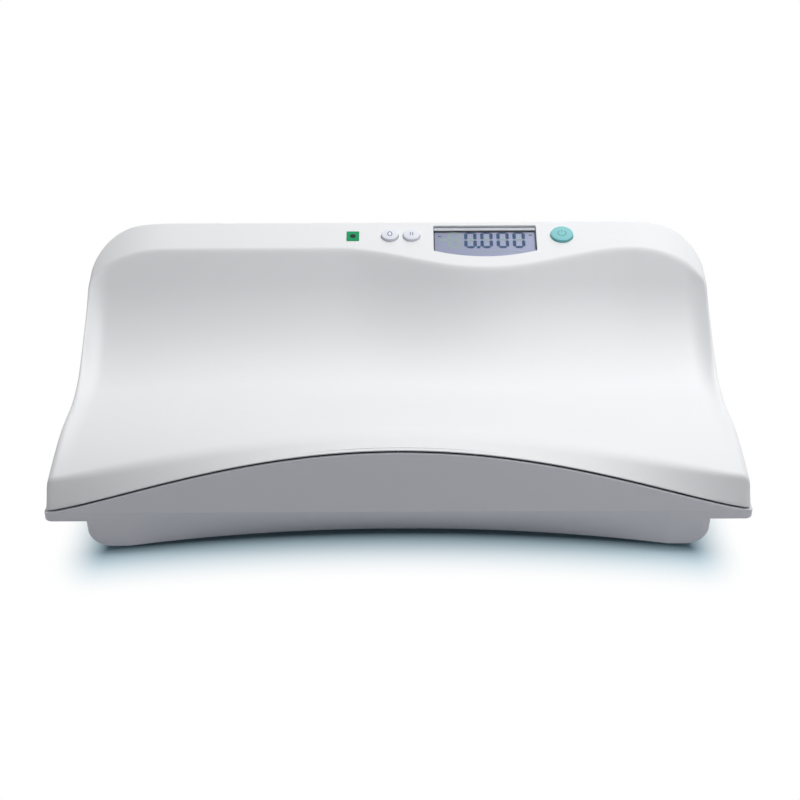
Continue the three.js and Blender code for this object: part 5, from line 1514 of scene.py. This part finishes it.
class SCALE_OT_label(bpy.types.Operator):
    """Builds the small label on the control strip, with a plain dot on it"""

    bl_idname = "scale.label"
    bl_label = "Label"

    def execute(self, context):
        f, h = context.scene.scale_tray, context.scene.scale_head
        place = head_matrix(f)
        x, y = h.label_x, h.label_y
        outline = soft_rectangle(x, y, h.label_width, h.label_height, h.label_corner)
        film = moved(plate(outline, -h.film, h.label_film, h.film), place)
        mesh = new_mesh("label_film", *film)
        show("label_film", mesh, "platform", "green_sticker", ["control_label"])
        dot = moved(plate(circle(x, y, h.dot_radius), h.label_film - h.film, h.label_film + h.film), place)
        show("label_dot", new_mesh("label_dot", *dot), "platform", "green_sticker", finish="label_ink")
        return {"FINISHED"}


class SCALE_OT_feet(bpy.types.Operator):
    """Builds the four levelling feet: knurled wheel with its threaded stud, and rubber sole"""

    bl_idname = "scale.feet"
    bl_label = "Levelling feet"

    def execute(self, context):
        b = context.scene.scale_base
        for k in range(1, 5):
            x, y = middle(f"foot_wheel_{k}")
            low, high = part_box(f"foot_wheel_{k}")
            body, top = f"foot_{k}", low.z + b.wheel_height
            steps = [("UNION", stud(b, x, y, top, high.z))]
            knob = carved(f"foot_knob_{k}", wheel_disc(b, x, y, low.z, top), steps)
            show(f"foot_knob_{k}", knob, body, "black_nylon", [f"foot_wheel_{k}"])
            sole = new_mesh("sole", *foot_sole(x, y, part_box(f"foot_pad_{k}")))
            show(f"foot_sole_{k}", sole, body, "foot_rubber", [f"foot_pad_{k}"])
        return {"FINISHED"}


class SCALE_OT_keys(bpy.types.Operator):
    """Builds the three keys with their printed signs"""

    bl_idname = "scale.keys"
    bl_label = "Keys"

    def execute(self, context):
        f, h = context.scene.scale_tray, context.scene.scale_head
        place = head_matrix(f)
        back = np.array(place.inverted())
        for name, body, x, radius, slot in key_list(h):
            low = corners_in(back, name)[:, 2].min()
            cap = moved(key_cap(h, x, radius, low, -f.wall - GAP), place)
            show(f"{name}_cap", new_mesh(name, *cap), body, slot, [name])
            ink = "start_ink" if body == "start_key" else "key_ink"
            sign = moved(key_sign(h, body, x, radius), place)
            show(f"{name}_sign", new_mesh(name, *sign), body, slot, finish=ink)
        return {"FINISHED"}


class SCALE_OT_stage(bpy.types.Operator):
    """Lays the floor and sets the lights and the camera"""

    bl_idname = "scale.stage"
    bl_label = "Studio"

    def execute(self, context):
        s, scene = context.scene.scale_studio, context.scene
        floor_mesh = new_mesh("floor", *plate(rectangle(0, 0, s.floor_size, s.floor_size), -2 * OVERRUN, 0))
        # Painted shadow: plan, fade and bow of the floor's painted shadow around the base.
        half = Vector((base_high.x - s.shadow_side, base_high.y - s.shadow_front))
        fade = Vector((s.fade_side, s.fade_front))
        bow = s.shadow_bow / context.scene.scale_base.recess_reach**2
        floor_mesh.materials.append(floor_paper("seamless_paper", half, fade, bow))
        floor = bpy.data.objects.new("floor", floor_mesh)
        scene.collection.objects.link(floor)
        look = Vector((0, math.cos(s.elevation), -math.sin(s.elevation)))
        up = Vector((0, math.sin(s.elevation), math.cos(s.elevation)))
        right = Vector((1, 0, 0)) * math.cos(s.roll) - up * math.sin(s.roll)
        up = up * math.cos(s.roll) + Vector((1, 0, 0)) * math.sin(s.roll)
        data = bpy.data.cameras.new("camera")
        data.lens, data.shift_x, data.sensor_width = s.lens, s.shift, SENSOR_WIDTH
        data.clip_start, data.clip_end = CLIP_START, CLIP_END
        camera = bpy.data.objects.new("camera", data)
        turn = Matrix((right, up, -look)).transposed().to_4x4()
        camera.matrix_world = Matrix.Translation((0, -s.camera_back, s.camera_height)) @ turn
        scene.collection.objects.link(camera)
        scene.camera = camera
        for name, spot, size, power in [
            ("key_softbox", KEY_SPOT, KEY_SIZE, s.key_power),
            ("rear_softbox", REAR_SPOT, REAR_SIZE, s.rear_power),
        ]:
            light = bpy.data.lights.new(name, "AREA")
            light.shape, light.size, light.size_y, light.energy = "RECTANGLE", size, size, power
            lamp = bpy.data.objects.new(name, light)
            aim = Vector(LIGHT_AIM) - Vector(spot)
            lamp.location, lamp.rotation_mode = spot, "QUATERNION"
            lamp.rotation_quaternion = aim.to_track_quat("-Z", "Y")
            scene.collection.objects.link(lamp)
        world = bpy.data.worlds.new("studio")
        world.use_nodes = True
        scene.world = world
        tree = world.node_tree
        tree.nodes.clear()
        ambient = add(tree, "ShaderNodeBackground", Color=shade(linear("#fafbfd"), 1), Strength=s.sky)
        clear = add(tree, "ShaderNodeBackground", Color=(1, 1, 1, 1), Strength=1.0)
        links = [("Fac", background_rays(tree).outputs[0]), (1, ambient.outputs[0]), (2, clear.outputs[0])]
        mixed = add(tree, "ShaderNodeMixShader", links)
        add(tree, "ShaderNodeOutputWorld", [("Surface", mixed.outputs[0])])
        scene.view_settings.view_transform = "Standard"
        return {"FINISHED"}


class SCALE_PT_panel(bpy.types.Panel):
    """Lists the operators in the 3D view's sidebar"""

    bl_idname = "SCALE_PT_panel"
    bl_label = "Baby Scale"
    bl_space_type = "VIEW_3D"
    bl_region_type = "UI"
    bl_category = "Baby Scale"

    def draw(self, context):
        for operator in operators:
            self.layout.operator(operator.bl_idname)


operators = [
    SCALE_OT_finishes,
    SCALE_OT_tray,
    SCALE_OT_base,
    SCALE_OT_display,
    SCALE_OT_label,
    SCALE_OT_keys,
    SCALE_OT_feet,
    SCALE_OT_stage,
]
groups = {
    "scale_tray": ScaleTray,
    "scale_base": ScaleBase,
    "scale_head": ScaleHead,
    "scale_finish": ScaleFinish,
    "scale_studio": ScaleStudio,
}


def register():
    """Registers the property groups, the operators and the panel."""
    for name, group in groups.items():
        bpy.utils.register_class(group)
        setattr(bpy.types.Scene, name, PointerProperty(type=group))
    for made in [*operators, SCALE_PT_panel]:
        bpy.utils.register_class(made)


def unregister():
    """Takes back what register did, in reverse."""
    for made in [SCALE_PT_panel, *reversed(operators)]:
        bpy.utils.unregister_class(made)
    for name, group in reversed(groups.items()):
        delattr(bpy.types.Scene, name)
        bpy.utils.unregister_class(group)


def main():
    """Builds the whole scale, with its studio."""
    for thing in [o for o in bpy.data.objects if o.type in ("CAMERA", "LIGHT")]:
        bpy.data.objects.remove(thing)
    register()
    for operator in operators:
        getattr(bpy.ops.scale, operator.bl_idname.split(".")[1])()


if __name__ == "__main__":
    main()
